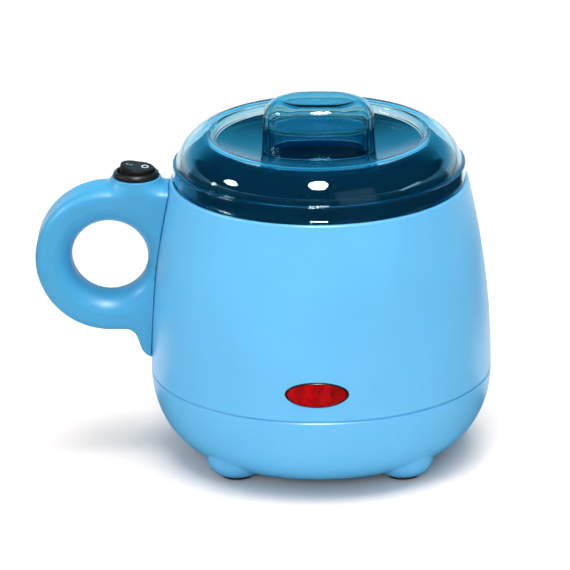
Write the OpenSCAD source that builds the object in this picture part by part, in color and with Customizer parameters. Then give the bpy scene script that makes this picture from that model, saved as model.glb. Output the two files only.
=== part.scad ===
// Table-top wax warmer with a ring handle, in millimetres.
// The origin is on the surface that the feet stand on, midway between the outer end
// of the handle and the far side of the body. +Z is up, -Y is the front with the lamp,
// and the handle points to -X. The pot drives the width: cup, collar, lid, rim, body
// and handle follow it outwards. The rim drives the heights of all that hangs from it.

/* [Pot and collar] */
// Outer radius of the pot wall below its flange
pot_r = 47.4; // [42:0.2:54]
// Taper of the pot from its flange down to its bottom corner
pot_taper = 2.4; // [1:0.2:4]
// Depth of the underside of the pot below the rim of the body
pot_depth = 41.1; // [36:0.1:46]
// Wall of the pot
pot_wall = 1.4; // [1:0.1:1.8]
// Radius of the bottom corner of the pot
pot_corner_r = 6; // [4:0.5:8]
// Radius of the hollow under the pot flange
pot_fillet_r = 1.5; // [1:0.1:2]
// Thickness of the pot flange
flange_t = 1.6; // [1.4:0.1:2]
// Distance from the edge of the pot flange to the edge of the collar
flange_back = 1.2; // [0.8:0.1:1.6]
// Wall of the black collar
collar_t = 3.9; // [3.5:0.1:5]
// Height of the black collar above the cup flange
collar_h = 8.2; // [7:0.2:8.6]

/* [Heating cup] */
// Gap between pot and heating cup
cup_gap = 0.5; // [0.4:0.1:0.7]
// Wall of the heating cup
cup_wall = 1.2; // [1:0.1:1.3]
// Thickness of the floor of the heating cup
cup_floor_t = 2; // [1.6:0.1:2.6]
// Thickness of the flange of the heating cup
cup_flange_t = 1.2; // [1:0.1:1.6]

/* [Body shell] */
// Height of the top of the rim
rim_z = 108.6; // [100:0.2:120]
// Width of the rim outside the lip of the lid
rim_margin = 0.85; // [0.6:0.05:2]
// Radius of the side profile of the barrel
barrel_r = 317; // [280:1:400]
// Height of the widest point of the barrel above the seam
belly_rise = 2.5; // [0:0.5:6]
// Wall of the body shell
shell_wall = 2.4; // [2:0.1:3]
// Radius of the rounded edge of the rim
rim_edge_r = 1.2; // [0.6:0.1:1.6]
// Width of the land on top of the rim
rim_land = 3.2; // [2.8:0.1:3.3]
// Depth from the rim down to the shelf that carries the heating cup
shelf_drop = 4; // [3:0.2:6]
// Thickness of the shelf
shelf_t = 2.4; // [2:0.1:3]

/* [Base shell] */
// Height of the seam between body shell and base shell
seam_z = 33.5; // [30:0.5:38]
// Width and depth of the groove along the seam
seam_groove = 0.5; // [0.3:0.1:0.8]
// Height of the underside above the table
underside_z = 2.5; // [2:0.1:4]
// Width of the rounded lower corner of the base
base_corner_w = 25; // [22:0.5:28]
// Wall of the base shell
base_wall = 2.4; // [2:0.1:3]
// Height of the lap joint between the shells
lap_h = 3; // [2:0.2:4]
// Number of vent slots in the underside
vent_count = 8; // [6:1:10]
// Length of a vent slot
vent_len = 13; // [8:1:15]
// Width of a vent slot
vent_w = 2.6; // [2:0.1:3.2]

/* [Feet] */
// Distance from the widest line of the body in to the axis of a foot
foot_inset = 20.45; // [19:0.05:23]
// Radius of the lower end of the stub moulded on the base
foot_stub_r = 7; // [6.8:0.1:7.6]
// Widening of the stub where it joins the base
foot_flare = 3.4; // [2:0.1:4]
// Height of the end of the stub above the table
foot_stub_z = 1.2; // [0.8:0.1:1.6]
// Radius of the rubber pad
foot_pad_r = 6.3; // [5.8:0.1:6.5]
// Thickness of the rubber pad
foot_pad_t = 2.6; // [2.2:0.1:3]
// Radius of the screw towers
tower_r = 4.2; // [4:0.1:5]

/* [Lid] */
// Wall of the lid
lid_wall = 2; // [1.6:0.1:2.2]
// Height of the skirt of the lid above the rim
skirt_h = 6.9; // [6.4:0.1:8]
// Height of the crest of the dome above the rim
lid_h = 19.9; // [17:0.1:23]
// Width of the dome from the skirt in to its crest
dome_w = 16.6; // [14:0.1:19]
// Distance from the skirt in to the wall of the recess
recess_in = 17.6; // [16.5:0.1:21]
// Height of the floor of the recess above the rim
recess_h = 11.4; // [10.5:0.1:13]

/* [Lid knob] */
// Length of the knob at its base
knob_l = 43.2; // [38:0.2:50]
// Width of the knob at its base
knob_w = 27.6; // [25:0.2:32]
// Draft of each side of the knob over its height
knob_draft = 1.1; // [0.6:0.1:1.4]
// Height of the knob
knob_h = 20.3; // [18:0.1:24]
// Wall of the knob
knob_wall = 1.75; // [1.4:0.05:2]
// Radius of the knob's top edge seen from the front
knob_end_r = 7; // [5:0.5:9]
// Radius of the knob's top edge seen from the side
knob_side_r = 3; // [2.5:0.25:5]
// Radius of the knob's corners seen from above
knob_corner_r = 10; // [8:0.5:12]
// Height of the hollow boss under the knob
boss_h = 10.5; // [8:0.5:12]

/* [Handle] */
// Distance that the handle stands out beyond the body
handle_out = 43.4; // [38:0.2:50]
// Depth of the centre of the ring below the rim
ring_drop = 30.5; // [29:0.1:33]
// Outer radius of the ring
ring_r = 28.3; // [26:0.1:31]
// Width of the grip from the finger hole out to the edge of the ring
grip_w = 13.7; // [13:0.1:16]
// Radius of the rounded mouth of the finger hole
finger_edge_r = 6; // [4:0.5:7]
// Thickness of the handle
handle_t = 20; // [19.4:0.2:22]
// Radius of the rounded outer edges of the handle
handle_edge_r = 4.5; // [3.5:0.25:4.75]
// Thickness of the rear cover of the handle
cover_t = 4.5; // [4:0.25:5]
// Wall of the hollow handle
handle_wall = 2.4; // [2:0.1:2.8]
// Length of the tail below the ring
tail_l = 10.9; // [9:0.1:13]

/* [Switch] */
// Distance of the switch outside the widest line of the body
switch_out = 4.6; // [3.6:0.2:6]
// Height of the switch boss above the top of the ring
boss_rise = 3; // [2:0.1:4]
// Radius of the switch bezel
bezel_r = 8.9; // [8.6:0.1:9.1]
// Height of the switch bezel
bezel_h = 2.4; // [2:0.1:2.8]
// Radius of the switch body below the bezel
switch_body_r = 7.7; // [7.6:0.1:8]
// Depth of the switch body below the bezel
switch_depth = 11; // [9:0.5:12]
// Radius of the rocker seen from above
rocker_r = 6.5; // [6:0.1:6.6]
// Tilt of the rocker to either side
rocker_tilt = 8; // [6:0.5:9]

/* [Lamp] */
// Length of the oval lens
lens_l = 23.6; // [20:0.2:27]
// Height of the oval lens
lens_h = 9.4; // [8:0.2:11]
// Height of the centre of the lens above the seam
lens_rise = 10.9; // [10:0.1:14]
// Bulge of the lens beyond the barrel
lens_bulge = 0.5; // [0.3:0.1:1]
// Radius of the neon lamp
neon_r = 3; // [2.5:0.1:3.2]
// Length of the neon lamp
neon_l = 15; // [12:0.5:18]

/* [Heater] */
// Height of the band heater above the bottom corner of the pot
band_rise = 0.5; // [0:0.5:4]
// Height of the band heater
band_h = 20; // [14:0.5:22]
// Thickness of the band heater
band_t = 2.4; // [1.8:0.1:3]
// Radius of the thermostat
thermo_r = 8; // [7:0.25:9]
// Height of the thermostat
thermo_h = 8; // [6:0.5:10]

/* [Cord inlet] */
// Height of the cord gland above the seam
gland_rise = 12.5; // [11:0.5:16]
// Radius of the bore for the mains cord
cord_bore_r = 3.1; // [2.5:0.1:3.5]
// Radius of the neck of the gland
gland_r = 5; // [4.6:0.1:5.5]

/* [Clearances] */
// Gap between fixed pieces that fit into each other
fit_gap = 0.1; // [0.05:0.05:0.2]
// Gap between pieces that move past each other
move_gap = 0.4; // [0.3:0.05:0.5]

/* [Hidden] */
$fn = 96;
eps = 0.01;

body_blue = "#72c8f8";
handle_blue = "#57b6ea";
tint_blue = "#1f8fb3";
part_white = "#f1efe9";
steel = "#b9bcc0";

// Screws
screw_r = 1.5;
hole_r = screw_r + 0.1;
pilot_r = 1.25;
thread_r = pilot_r - 0.02;
head_r = 2.8;
head_h = 2;
slot_w = 0.8;
small_screw_r = 0.9;
small_head_r = 1.9;
small_head_h = 1.2;

// Radii from the pot outwards: collar, lid, rim and body
lip_w = 0.4;
collar_in_r = pot_r + pot_fillet_r + move_gap;
collar_r = collar_in_r + collar_t;
flange_r = collar_r - flange_back;
lid_r = collar_r + move_gap + lid_wall;
rim_r = lid_r + lip_w + rim_margin;
belly_z = seam_z + belly_rise;
barrel_rise = rim_z - rim_edge_r - belly_z;
body_r = rim_r + barrel_r - sqrt(pow(barrel_r, 2) - pow(barrel_rise, 2));
barrel_axis_r = body_r - barrel_r;
land_inner_r = rim_r - rim_land;
lap_r = barrel_x(seam_z) - shell_wall / 2;
shelf_r = pot_r + cup_gap + cup_wall + 0.3;

// Distance of the axis of the body from the origin, along X
handle_reach = body_r + handle_out;
body_axis_x = (handle_reach - body_r) / 2;

// Heights of shelf, cup flange, collar and pot flange, one above the other
shelf_z = rim_z - shelf_drop;
cup_top_z = shelf_z + cup_flange_t;
collar_z = cup_top_z + collar_h;
collar_edge_r = 0.8;
collar_seat = 0.3;
flange_z = collar_z + collar_seat + flange_t;
collar_screw_r = (collar_in_r + collar_r) / 2;
collar_screw_d = 2;
collar_screw_angles = [45, 135, 225, 315];

// Pot and cup
pot_bottom_r = pot_r - pot_taper;
pot_bottom_z = rim_z - pot_depth;
pot_corner_z = pot_bottom_z + pot_corner_r;
pot_side_z = flange_z - flange_t - pot_fillet_r;
pot_lip_r = 2;
cup_under_z = pot_bottom_z - cup_floor_t;
cup_edge = 0.5;

// Feet, screw towers and vents of the base
base_flat_r = body_r - base_corner_w;
foot_r = body_r - foot_inset;
foot_pos = foot_r / sqrt(2);
foot_flare_h = 8;
tower_z = seam_z - 1.5;
boss_top_z = seam_z + 13;
screw_end_z = seam_z + 10;
screw_seat_z = underside_z + 6.5;
gusset_t = 2.4;
gusset_sink = 0.8;
vent_r = base_flat_r * 0.3;

// Lid and knob
ridge_r = 1.5;
ridge_w = 2.1;
recess_edge_r = 1.5;
recess_tuck = 0.9;
lip_h = 1.4;
skirt_edge = 0.5;
recess_z = rim_z + recess_h;
recess_r = lid_r - recess_in;
lid_step_z = rim_z + skirt_h;
lid_crest_r = lid_r - dome_w;
dome_z = rim_z + lip_h;
dome_a = dome_w - 0.3;
dome_b = lid_h - lip_h;
knob_top_z = recess_z + knob_h;
boss_wall = 1.8;
boss_margin = knob_wall + knob_draft * boss_h / knob_h + move_gap;
boss_l = knob_l - 2 * boss_margin;
boss_w = knob_w - 2 * boss_margin;

// Band heater, its lugs and its screw
band_z = pot_corner_z + band_rise;
band_top_z = band_z + band_h;
band_split = 16;
lug_x = 8;
lug_t = 2;
lug_y0 = max(cup_out_x(band_z), cup_out_x(band_top_z)) + cup_gap;
lug_y1 = lug_y0 + 7.5;
lug_y = lug_y0 + 4;
lug_drop = 3;
nut_r = 3.1;
nut_h = 2.4;
band_screw_z = band_z + band_h / 2;
band_screw_l = 2 * lug_x + lug_t;

// Thermostat, fuse and the strip that holds them
stud_x = 26;
stud_r = 3.2;
bracket_z = cup_under_z - thermo_h;
bracket_t = 1.2;
bracket_w = 14;
thermo_step = 1.5;
blade_t = 0.8;
blade_w = 3;
blade_l = 6;
fuse_r = thermo_h / 2 - fit_gap;
fuse_l = 22;
fuse_wire_r = 0.6;
fuse_wire_l = 5;

// Handle
ring_z = rim_z - ring_drop;
ring_x = -handle_reach + ring_r;
ring_top_z = ring_z + ring_r;
ring_low_z = ring_z - ring_r;
finger_r = ring_r - grip_w;
half_t = handle_t / 2;
cover_y = half_t - cover_t;
split_z = ring_top_z - handle_edge_r;
tail_z = ring_low_z - tail_l;
tail_x = -body_r - 3.6;
tail_lean = 2.3;
tail_corner_r = 4;
tail_fillet_r = 3;
tail_edge_r = 2.5;
tail_root = 6;
tail_slope = tail_lean / (ring_low_z - tail_z - tail_corner_r);
boss_r = bezel_r + 0.5;
boss_flare_w = 1.7;
hollow_x = ring_x + 6;
wire_z0 = ring_z + 17;
wire_h = 6;
wire_hole_r = 2.5;
handle_screw_zs = [ring_z + 11.4, ring_z - 16.1];
handle_screw_l = 10;
handle_screw_sink = 0.6;
post_r = 3.2;
post_circle_r = ring_r - 5.8;
cover_sink = 2.5;
cover_screw_l = 8;
cover_screw_spots = concat(
    [for (a = [130, 240]) [ring_x + post_circle_r * cos(a), ring_z + post_circle_r * sin(a)]],
    [[tail_x + 0.4, ring_low_z + 5.5]]
);

// Switch
switch_x = body_r + switch_out;
switch_z = ring_top_z + boss_rise;
bezel_edge_r = 0.9;
well_r = rocker_r + 0.55;
well_depth = 4;
well_edge = 0.5;
pivot_r = 0.8;
pivot_hole_r = pivot_r + 0.05;
pivot_l = 2 * well_r + 1.2;
pivot_rise = 0.2;
pivot_z = switch_z + pivot_rise;
rocker_rise = 2.9;
rocker_dip = 2.2;
rocker_lip = 0.4;
rocker_keel = 1.5;
rocker_gap = 0.25;
terminal_x = 3.5;
terminal_l = 3;
terminal_t = 0.8;
terminal_w = 4;
terminal_play = 0.1;
terminal_in = switch_depth - well_depth - 1.5;

// Lamp
lens_z = seam_z + lens_rise;
lens_gap = 0.3;
lens_flange = 1.2;
lens_flange_t = 1.3;
neon_y = -barrel_x(lens_z, shell_wall) + neon_r + 2.2;
lamp_y = neon_y + neon_r + 0.8;
lamp_post_x = 16;
lamp_post_r = 3;
lamp_post_l = 7.6;
holder_t = 2;
holder_h = 8;
holder_end = 4;
holder_arm = 3;
lamp_screw_l = 6;

// Terminal block
block_gap = 4;
block_z = underside_z + base_wall + block_gap;
block_l = 42;
block_w = 16;
block_h = 13;
block_foot_t = 4;
block_pitch = 9;
block_cell_w = 6.8;
block_bore_r = 1.8;
block_bore_z = 7;
block_screw_x = 17;
block_screw_l = 7.5;
block_post_r = 3.2;
wire_screw_r = 1.5;
wire_screw_y = 3.5;

// Cord inlet
gland_z = seam_z + gland_rise;
gland_lip_w = 1.5;
gland_lip = 1.5;
gland_flange = 2.2;
gland_in_y = barrel_x(gland_z, shell_wall) - 0.6;
gland_out_y = body_r + fit_gap;
clamp_y = body_r - 14;
clamp_z = gland_z - cord_bore_r + 0.1;
clamp_h = 7;
clamp_grip = 0.2;
clamp_screw_x = 9;
clamp_screw_l = 13;
clamp_post_r = 3;
clamp_post_h = 8;
shelf_l = 26;
shelf_w = 8;
cord_shelf_t = 3;
cord_shelf_sink = 0.4;

// Radius of the barrel at a height, or of its inside at a given inset
function barrel_x(z, inset = 0) =
    barrel_axis_r + sqrt(pow(barrel_r - inset, 2) - pow(z - belly_z, 2));

// Side profile of the barrel from one height to another
function barrel_side(z0, z1, inset = 0, steps = 12) = [
    for (i = [0:steps])
        let (z = z0 + (z1 - z0) * i / steps) [barrel_x(z, inset), z]
];

// Rounded lower corner of the base, from the seam down to the underside
function base_side(inset = 0, steps = 16) = [
    for (i = [0:steps])
        let (t = 90 * i / steps)
        [base_flat_r + (body_r - base_flat_r - inset) * cos(t),
         seam_z - (seam_z - underside_z - inset) * sin(t)]
];

// Points on an arc, from one angle to another
function arc(cx, cz, r, a0, a1, steps = 8) = [
    for (i = [0:steps])
        let (t = a0 + (a1 - a0) * i / steps) [cx + r * cos(t), cz + r * sin(t)]
];

// Outer radius of the pot wall at a height
function pot_x(z) =
    pot_bottom_r + pot_taper * (z - pot_corner_z) / (pot_side_z - pot_corner_z);

// Outer radius of the wall of the heating cup at a height
function cup_out_x(z) = pot_x(z) + cup_gap + cup_wall;

// Solid of revolution of the barrel between two heights
module barrel_solid(z0, z1, inset = 0) {
    rotate_extrude()
        polygon(concat([[0, z0]], barrel_side(z0, z1, inset), [[0, z1]]));
}

// Moves a piece from the axis of the body to its place beside the origin
module placed() {
    translate([body_axis_x, 0, 0]) children();
}

// Repeats a piece at the four feet
module at_feet() {
    for (sx = [-1, 1], sy = [-1, 1])
        translate([sx * foot_pos, sy * foot_pos, 0]) children();
}

// Screw with a round head, pointing up, with its head's seat at the origin
module screw_up(length, r = screw_r) {
    cylinder(r = r, h = length);
    translate([0, 0, -head_h]) difference() {
        cylinder(r = head_r, h = head_h);
        translate([0, 0, -eps]) {
            translate([-head_r / 1.6, -slot_w / 2, 0]) cube([head_r * 1.25, slot_w, head_h / 2]);
            translate([-slot_w / 2, -head_r / 1.6, 0]) cube([slot_w, head_r * 1.25, head_h / 2]);
        }
    }
}

// Slot with round ends, along X
module slot_2d(length, width) {
    translate([width / 2, -width / 2]) square([length - width, width]);
    for (x = [width / 2, length - width / 2]) translate([x, 0]) circle(d = width);
}

// Square with rounded corners on the right side only
module rounded_right(x0, x1, half_h, r) {
    translate([x0, -half_h]) square([x1 - r - x0, 2 * half_h]);
    translate([x0, -half_h + r]) square([x1 - x0, 2 * (half_h - r)]);
    for (s = [-1, 1]) translate([x1 - r, s * (half_h - r)]) circle(r);
}

// Closed side profile of the body shell
function shell_profile() = concat(
    [[barrel_x(seam_z) - seam_groove, seam_z]],
    barrel_side(seam_z + seam_groove, rim_z - rim_edge_r),
    arc(rim_r - rim_edge_r, rim_z - rim_edge_r, rim_edge_r, 10, 90),
    [[land_inner_r, rim_z], [land_inner_r, shelf_z], [shelf_r, shelf_z]],
    [[shelf_r, shelf_z - shelf_t]],
    barrel_side(shelf_z - shelf_t, seam_z - lap_h, shell_wall),
    [[lap_r - fit_gap, seam_z - lap_h], [lap_r - fit_gap, seam_z]]
);

// Closed outer profile of the base, with its share of the seam groove
function base_profile() = concat(
    [[0, seam_z], [body_r - seam_groove, seam_z], [body_r - seam_groove / 8, seam_z - seam_groove]],
    [for (i = [1:16]) base_side()[i]],
    [[0, underside_z]]
);

module body_shell() {
    color(body_blue) difference() {
        union() {
            rotate_extrude() polygon(shell_profile());
            at_feet() translate([0, 0, tower_z]) cylinder(r = tower_r, h = boss_top_z - tower_z);
            foot_gussets();
            lamp_posts();
            cord_shelf();
        }
        at_feet() translate([0, 0, tower_z - eps]) cylinder(r = pilot_r, h = screw_end_z - tower_z);
        for (a = collar_screw_angles) rotate(a) translate([collar_screw_r, 0, shelf_z - shelf_t - eps])
            cylinder(r = collar_screw_d / 2 + fit_gap, h = shelf_t + 2 * eps);
        lens_opening();
        lamp_pilots();
        clamp_pilots();
        gland_hole();
        handle_wall_holes();
    }
}

// Ribs that tie the screw bosses to the wall of the body shell
module foot_gussets() {
    for (sx = [-1, 1], sy = [-1, 1])
        rotate(atan2(sy, sx)) translate([foot_r + tower_r - 0.5, -gusset_t / 2, tower_z])
            cube([barrel_x(tower_z, shell_wall) + gusset_sink - foot_r - tower_r + 0.5, gusset_t,
                  boss_top_z - tower_z - gusset_t]);
}

module base_shell() {
    color(body_blue) difference() {
        union() {
            difference() {
                union() {
                    rotate_extrude() polygon(base_profile());
                    at_feet() translate([0, 0, foot_stub_z])
                        cylinder(r1 = foot_stub_r, r2 = foot_stub_r + foot_flare, h = foot_flare_h);
                }
                rotate_extrude()
                    polygon(concat(base_side(base_wall), [[0, underside_z + base_wall], [0, seam_z]]));
                translate([0, 0, seam_z - lap_h - fit_gap])
                    cylinder(r = lap_r, h = lap_h + fit_gap + 1);
            }
            at_feet() translate([0, 0, foot_stub_z]) cylinder(r = tower_r, h = tower_z - foot_stub_z);
            block_posts();
        }
        at_feet() {
            translate([0, 0, foot_stub_z - eps])
                cylinder(r = foot_pad_r + fit_gap, h = foot_pad_t - foot_stub_z + fit_gap);
            cylinder(r = head_r + 0.2, h = screw_seat_z);
            cylinder(r = screw_r + 0.2, h = tower_z + eps);
        }
        vents();
        block_pilots();
    }
}

// Ring of vent slots through the underside
module vents() {
    for (i = [0:vent_count - 1])
        rotate(360 * (i + 0.5) / vent_count) translate([vent_r, 0, underside_z - eps])
            linear_extrude(base_wall + 2 * eps) slot_2d(vent_len, vent_w);
}

// Rubber pad under one foot, set into the stub
module foot_pad(sx, sy) {
    color("#23262b") translate([sx * foot_pos, sy * foot_pos, 0]) rotate_extrude() polygon([
        [0, 0.3], [foot_pad_r * 0.35, 0], [foot_pad_r - 0.6, 0], [foot_pad_r, 0.6],
        [foot_pad_r, foot_pad_t], [0, foot_pad_t]
    ]);
}

module base_screws() {
    color(steel) at_feet() translate([0, 0, screw_seat_z])
        screw_up(screw_end_z - 2 - screw_seat_z, thread_r);
}

// Heat resistant black ring that stands up inside the lid skirt
module pot_collar() {
    color("#17181a") difference() {
        rotate_extrude() polygon(concat(
            [[collar_in_r, cup_top_z], [collar_r, cup_top_z]],
            arc(collar_r - collar_edge_r, collar_z - collar_edge_r, collar_edge_r, 0, 90, 4),
            [[collar_in_r + collar_edge_r, collar_z], [collar_in_r, collar_z - collar_edge_r]]
        ));
        for (a = collar_screw_angles) rotate(a)
            translate([collar_screw_r, 0, cup_top_z - eps])
                cylinder(d = collar_screw_d + 0.04, h = collar_h - 2);
    }
}

module collar_screws() {
    color(steel) for (a = collar_screw_angles) rotate(a)
        translate([collar_screw_r, 0, shelf_z - shelf_t]) {
            cylinder(d = collar_screw_d, h = shelf_t + cup_flange_t + collar_h - 3);
            translate([0, 0, -small_head_h]) cylinder(d = collar_screw_d * 1.7, h = small_head_h);
        }
}

// Aluminium cup that the pot stands in
module heating_cup() {
    corner_x = pot_bottom_r + cup_gap - pot_corner_r;
    color("#c9cdd1") difference() {
        union() {
            rotate_extrude() polygon(concat(
                [[0, cup_under_z], [corner_x, cup_under_z]],
                arc(corner_x, pot_corner_z, pot_corner_r + cup_wall, -70, 0),
                [[cup_out_x(shelf_z), shelf_z], [collar_r, shelf_z], [collar_r, cup_top_z]],
                [[pot_x(cup_top_z) + cup_gap + cup_edge, cup_top_z]],
                [[pot_x(cup_top_z - cup_edge) + cup_gap, cup_top_z - cup_edge]],
                arc(corner_x, pot_corner_z, pot_corner_r, 0, -90),
                [[0, pot_bottom_z]]
            ));
            for (s = [-1, 1]) translate([s * stud_x, 0, bracket_z])
                cylinder(r = stud_r, h = cup_under_z - bracket_z + cup_edge);
        }
        for (s = [-1, 1]) translate([s * stud_x, 0, bracket_z - eps])
            cylinder(r = pilot_r, h = thermo_h);
        for (a = collar_screw_angles) rotate(a) translate([collar_screw_r, 0, shelf_z - eps])
            cylinder(r = collar_screw_d / 2 + fit_gap, h = cup_flange_t + 2 * eps);
    }
}

// Mica band heater round the heating cup, closed by two lugs at the rear
module band_heater() {
    in_low = cup_out_x(band_z) + fit_gap;
    in_top = cup_out_x(band_top_z) + fit_gap;
    color("#8d7f6a") difference() {
        union() {
            rotate(90 + band_split / 2) rotate_extrude(angle = 360 - band_split) polygon([
                [in_low, band_z], [in_low + band_t, band_z],
                [in_top + band_t, band_top_z], [in_top, band_top_z]
            ]);
            for (s = [-1, 1]) translate([s * lug_x - lug_t / 2, lug_y0, band_z + lug_drop])
                cube([lug_t, lug_y1 - lug_y0, band_h - 2 * lug_drop]);
        }
        translate([0, lug_y, band_screw_z]) rotate([0, 90, 0])
            cylinder(r = screw_r + 2 * fit_gap, h = 2 * band_screw_l, center = true);
    }
}

module band_screw() {
    color(steel) translate([lug_x + lug_t / 2, lug_y, band_screw_z]) rotate([0, -90, 0]) {
        screw_up(band_screw_l + 2 * nut_h);
        translate([0, 0, band_screw_l]) difference() {
            cylinder(r = nut_r, h = nut_h, $fn = 6);
            translate([0, 0, -eps]) cylinder(r = screw_r, h = nut_h + 2 * eps);
        }
    }
}

// Bimetal thermostat pressed against the underside of the heating cup
module thermostat() {
    color("#d9d2c4") {
        translate([0, 0, bracket_z + thermo_step]) cylinder(r = thermo_r, h = thermo_h - thermo_step);
        translate([0, 0, bracket_z]) cylinder(r = thermo_r - thermo_step, h = thermo_step);
        for (s = [-1, 1]) translate([-blade_t / 2, (s - 0.5) * blade_w, bracket_z - blade_l])
            cube([blade_t, blade_w, blade_l]);
    }
}

// Steel strip that presses thermostat and fuse against the heating cup
module sensor_bracket() {
    color(steel) translate([0, 0, bracket_z - bracket_t]) linear_extrude(bracket_t) difference() {
        union() {
            translate([-stud_x, -bracket_w / 2]) square([2 * stud_x, bracket_w]);
            for (s = [-1, 1]) translate([s * stud_x, 0]) circle(d = bracket_w);
        }
        circle(r = blade_w * 1.8);
        for (s = [-1, 1]) translate([s * stud_x, 0]) circle(r = hole_r);
    }
}

module bracket_screws() {
    color(steel) for (s = [-1, 1]) translate([s * stud_x, 0, bracket_z - bracket_t])
        screw_up(thermo_h - 1, thread_r);
}

// Thermal fuse in its sleeve, with its two wire ends
module thermal_fuse() {
    color("#e8e4da") translate([(stud_x - stud_r + thermo_r) / 2, 0, bracket_z + thermo_h / 2])
        rotate([90, 0, 0]) {
            cylinder(r = fuse_r, h = fuse_l, center = true);
            cylinder(r = fuse_wire_r, h = fuse_l + 2 * fuse_wire_l, center = true);
        }
}

// Black wax pot with a flat flange and a rolled rim
module inner_pot() {
    in_r = pot_r - pot_wall;
    corner_x = pot_bottom_r - pot_corner_r;
    flange_low = flange_z - flange_t;
    color("#1b1c1f") rotate_extrude() polygon(concat(
        [[0, pot_bottom_z]],
        arc(corner_x, pot_corner_z, pot_corner_r, -90, 0),
        [[pot_r, pot_side_z]],
        [for (i = [1:5]) let (t = 90 * i / 6)
            [pot_r + pot_fillet_r - pot_fillet_r * cos(t),
             pot_side_z + pot_fillet_r * sin(t)]],
        [[pot_r + pot_fillet_r, flange_low]],
        arc(flange_r - flange_t / 2, flange_z - flange_t / 2, flange_t / 2, -90, 90),
        [for (i = [0:6]) let (t = 90 * i / 6)
            [in_r + pot_lip_r - pot_lip_r * sin(t), flange_z - pot_lip_r + pot_lip_r * cos(t)]],
        arc(corner_x, pot_corner_z, pot_corner_r - pot_wall, 0, -90),
        [[0, pot_bottom_z + pot_wall]]
    ));
}

// Quarter ellipse of the dome at a given inset, from one angle to another
function dome(inset, t0, t1, steps = 14) = [
    for (i = [0:steps])
        let (t = t0 + (t1 - t0) * i / steps)
        [lid_crest_r + (dome_a - inset) * cos(t), dome_z + (dome_b - inset) * sin(t)]
];

// Angle at which the dome at a given inset reaches a height
function dome_at(inset, z) = asin((z - dome_z) / (dome_b - inset));

// See-through lid: skirt, dome and recessed middle with a hollow boss
module lid() {
    t_out = dome_at(0, lid_step_z);
    t_in = dome_at(lid_wall, lid_step_z - 0.3);
    in_r = lid_r - lid_wall;
    ridge_x = recess_r + ridge_w + ridge_r;
    t_ridge = acos((ridge_x - lid_crest_r) / dome_a);
    ridge_z = dome_z + dome_b * sin(t_ridge) - ridge_r;
    floor_z = recess_z + recess_edge_r;
    color(tint_blue, 0.6) difference() {
        union() {
            rotate_extrude() polygon(concat(
                [[in_r, rim_z], [lid_r + lip_w, rim_z], [lid_r + lip_w, dome_z - lip_w]],
                [[lid_r, dome_z], [lid_r, lid_step_z - skirt_edge], [lid_r - skirt_edge, lid_step_z]],
                dome(0, t_out, t_ridge),
                arc(ridge_x, ridge_z, ridge_r, 105, 180, 5),
                arc(recess_r - recess_tuck, floor_z, recess_edge_r, 0, -90, 5),
                [[0, recess_z], [0, recess_z - lid_wall]],
                arc(recess_r - recess_tuck, floor_z, recess_edge_r + lid_wall, -90, 0, 6),
                [[ridge_x, ridge_z - lid_wall / 2]],
                dome(lid_wall, 72, t_in),
                [[in_r, lid_step_z - 0.3]]
            ));
            translate([0, 0, recess_z - eps]) linear_extrude(boss_h + eps) knob_plan(boss_l, boss_w);
        }
        translate([0, 0, recess_z - lid_wall - eps])
            linear_extrude(boss_h + eps)
                knob_plan(boss_l - 2 * boss_wall, boss_w - 2 * boss_wall);
    }
}

// Rounded rectangle of the knob, drawn with true arcs
module knob_plan(length, width) {
    r = min(knob_corner_r, width / 2 - 0.5);
    square([length - 2 * r, width], center = true);
    square([length, width - 2 * r], center = true);
    for (sx = [-1, 1], sy = [-1, 1])
        translate([sx * (length / 2 - r), sy * (width / 2 - r)]) circle(r);
}

// Loop of points round the knob at a height, at a given inset
function knob_loop(z, inset) =
    let (top = knob_top_z - inset,
         end_r = max(knob_end_r - inset, 1),
         side_r = max(knob_side_r - inset, 1),
         lean = knob_draft * (z - recess_z) / knob_h,
         end_cut = z > top - end_r ? end_r - sqrt(max(pow(end_r, 2) - pow(z - top + end_r, 2), 0)) : 0,
         side_cut = z > top - side_r ? side_r - sqrt(max(pow(side_r, 2) - pow(z - top + side_r, 2), 0)) : 0,
         a = knob_l / 2 - inset - lean - end_cut,
         b = knob_w / 2 - inset - lean - side_cut,
         r = min(knob_corner_r - inset / 2, b - 0.5))
    [for (q = [0:3], i = [0:6])
        let (t = 90 * q + 90 * i / 6,
             sx = (q == 0 || q == 3) ? 1 : -1,
             sy = q < 2 ? 1 : -1)
        [sx * (a - r) + r * cos(t), sy * (b - r) + r * sin(t), z]];

// Heights of the loops of the knob: straight sides, then a rounded top
function knob_levels(z0, top, end_r) = concat(
    [z0, top - end_r],
    [for (i = [1:8]) top - end_r + end_r * sin(90 * i / 8)]
);

// Closed solid through a stack of loops with equal numbers of points
module loft(loops) {
    n = len(loops[0]);
    m = len(loops);
    polyhedron(
        points = [for (l = loops, p = l) p],
        faces = concat(
            [[for (i = [0:n - 1]) i]],
            [[for (i = [n - 1:-1:0]) (m - 1) * n + i]],
            [for (k = [0:m - 2], i = [0:n - 1]) [k * n + i, (k + 1) * n + i, k * n + (i + 1) % n]],
            [for (k = [0:m - 2], i = [0:n - 1])
                [k * n + (i + 1) % n, (k + 1) * n + i, (k + 1) * n + (i + 1) % n]]
        )
    );
}

// Hollow cap that stands over the boss of the lid
module lid_knob() {
    color(tint_blue, 0.6) difference() {
        loft([for (z = knob_levels(recess_z, knob_top_z, knob_end_r)) knob_loop(z, 0)]);
        loft([for (z = knob_levels(recess_z - 1, knob_top_z - knob_wall, knob_end_r - knob_wall))
            knob_loop(z, knob_wall)]);
    }
}

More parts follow.
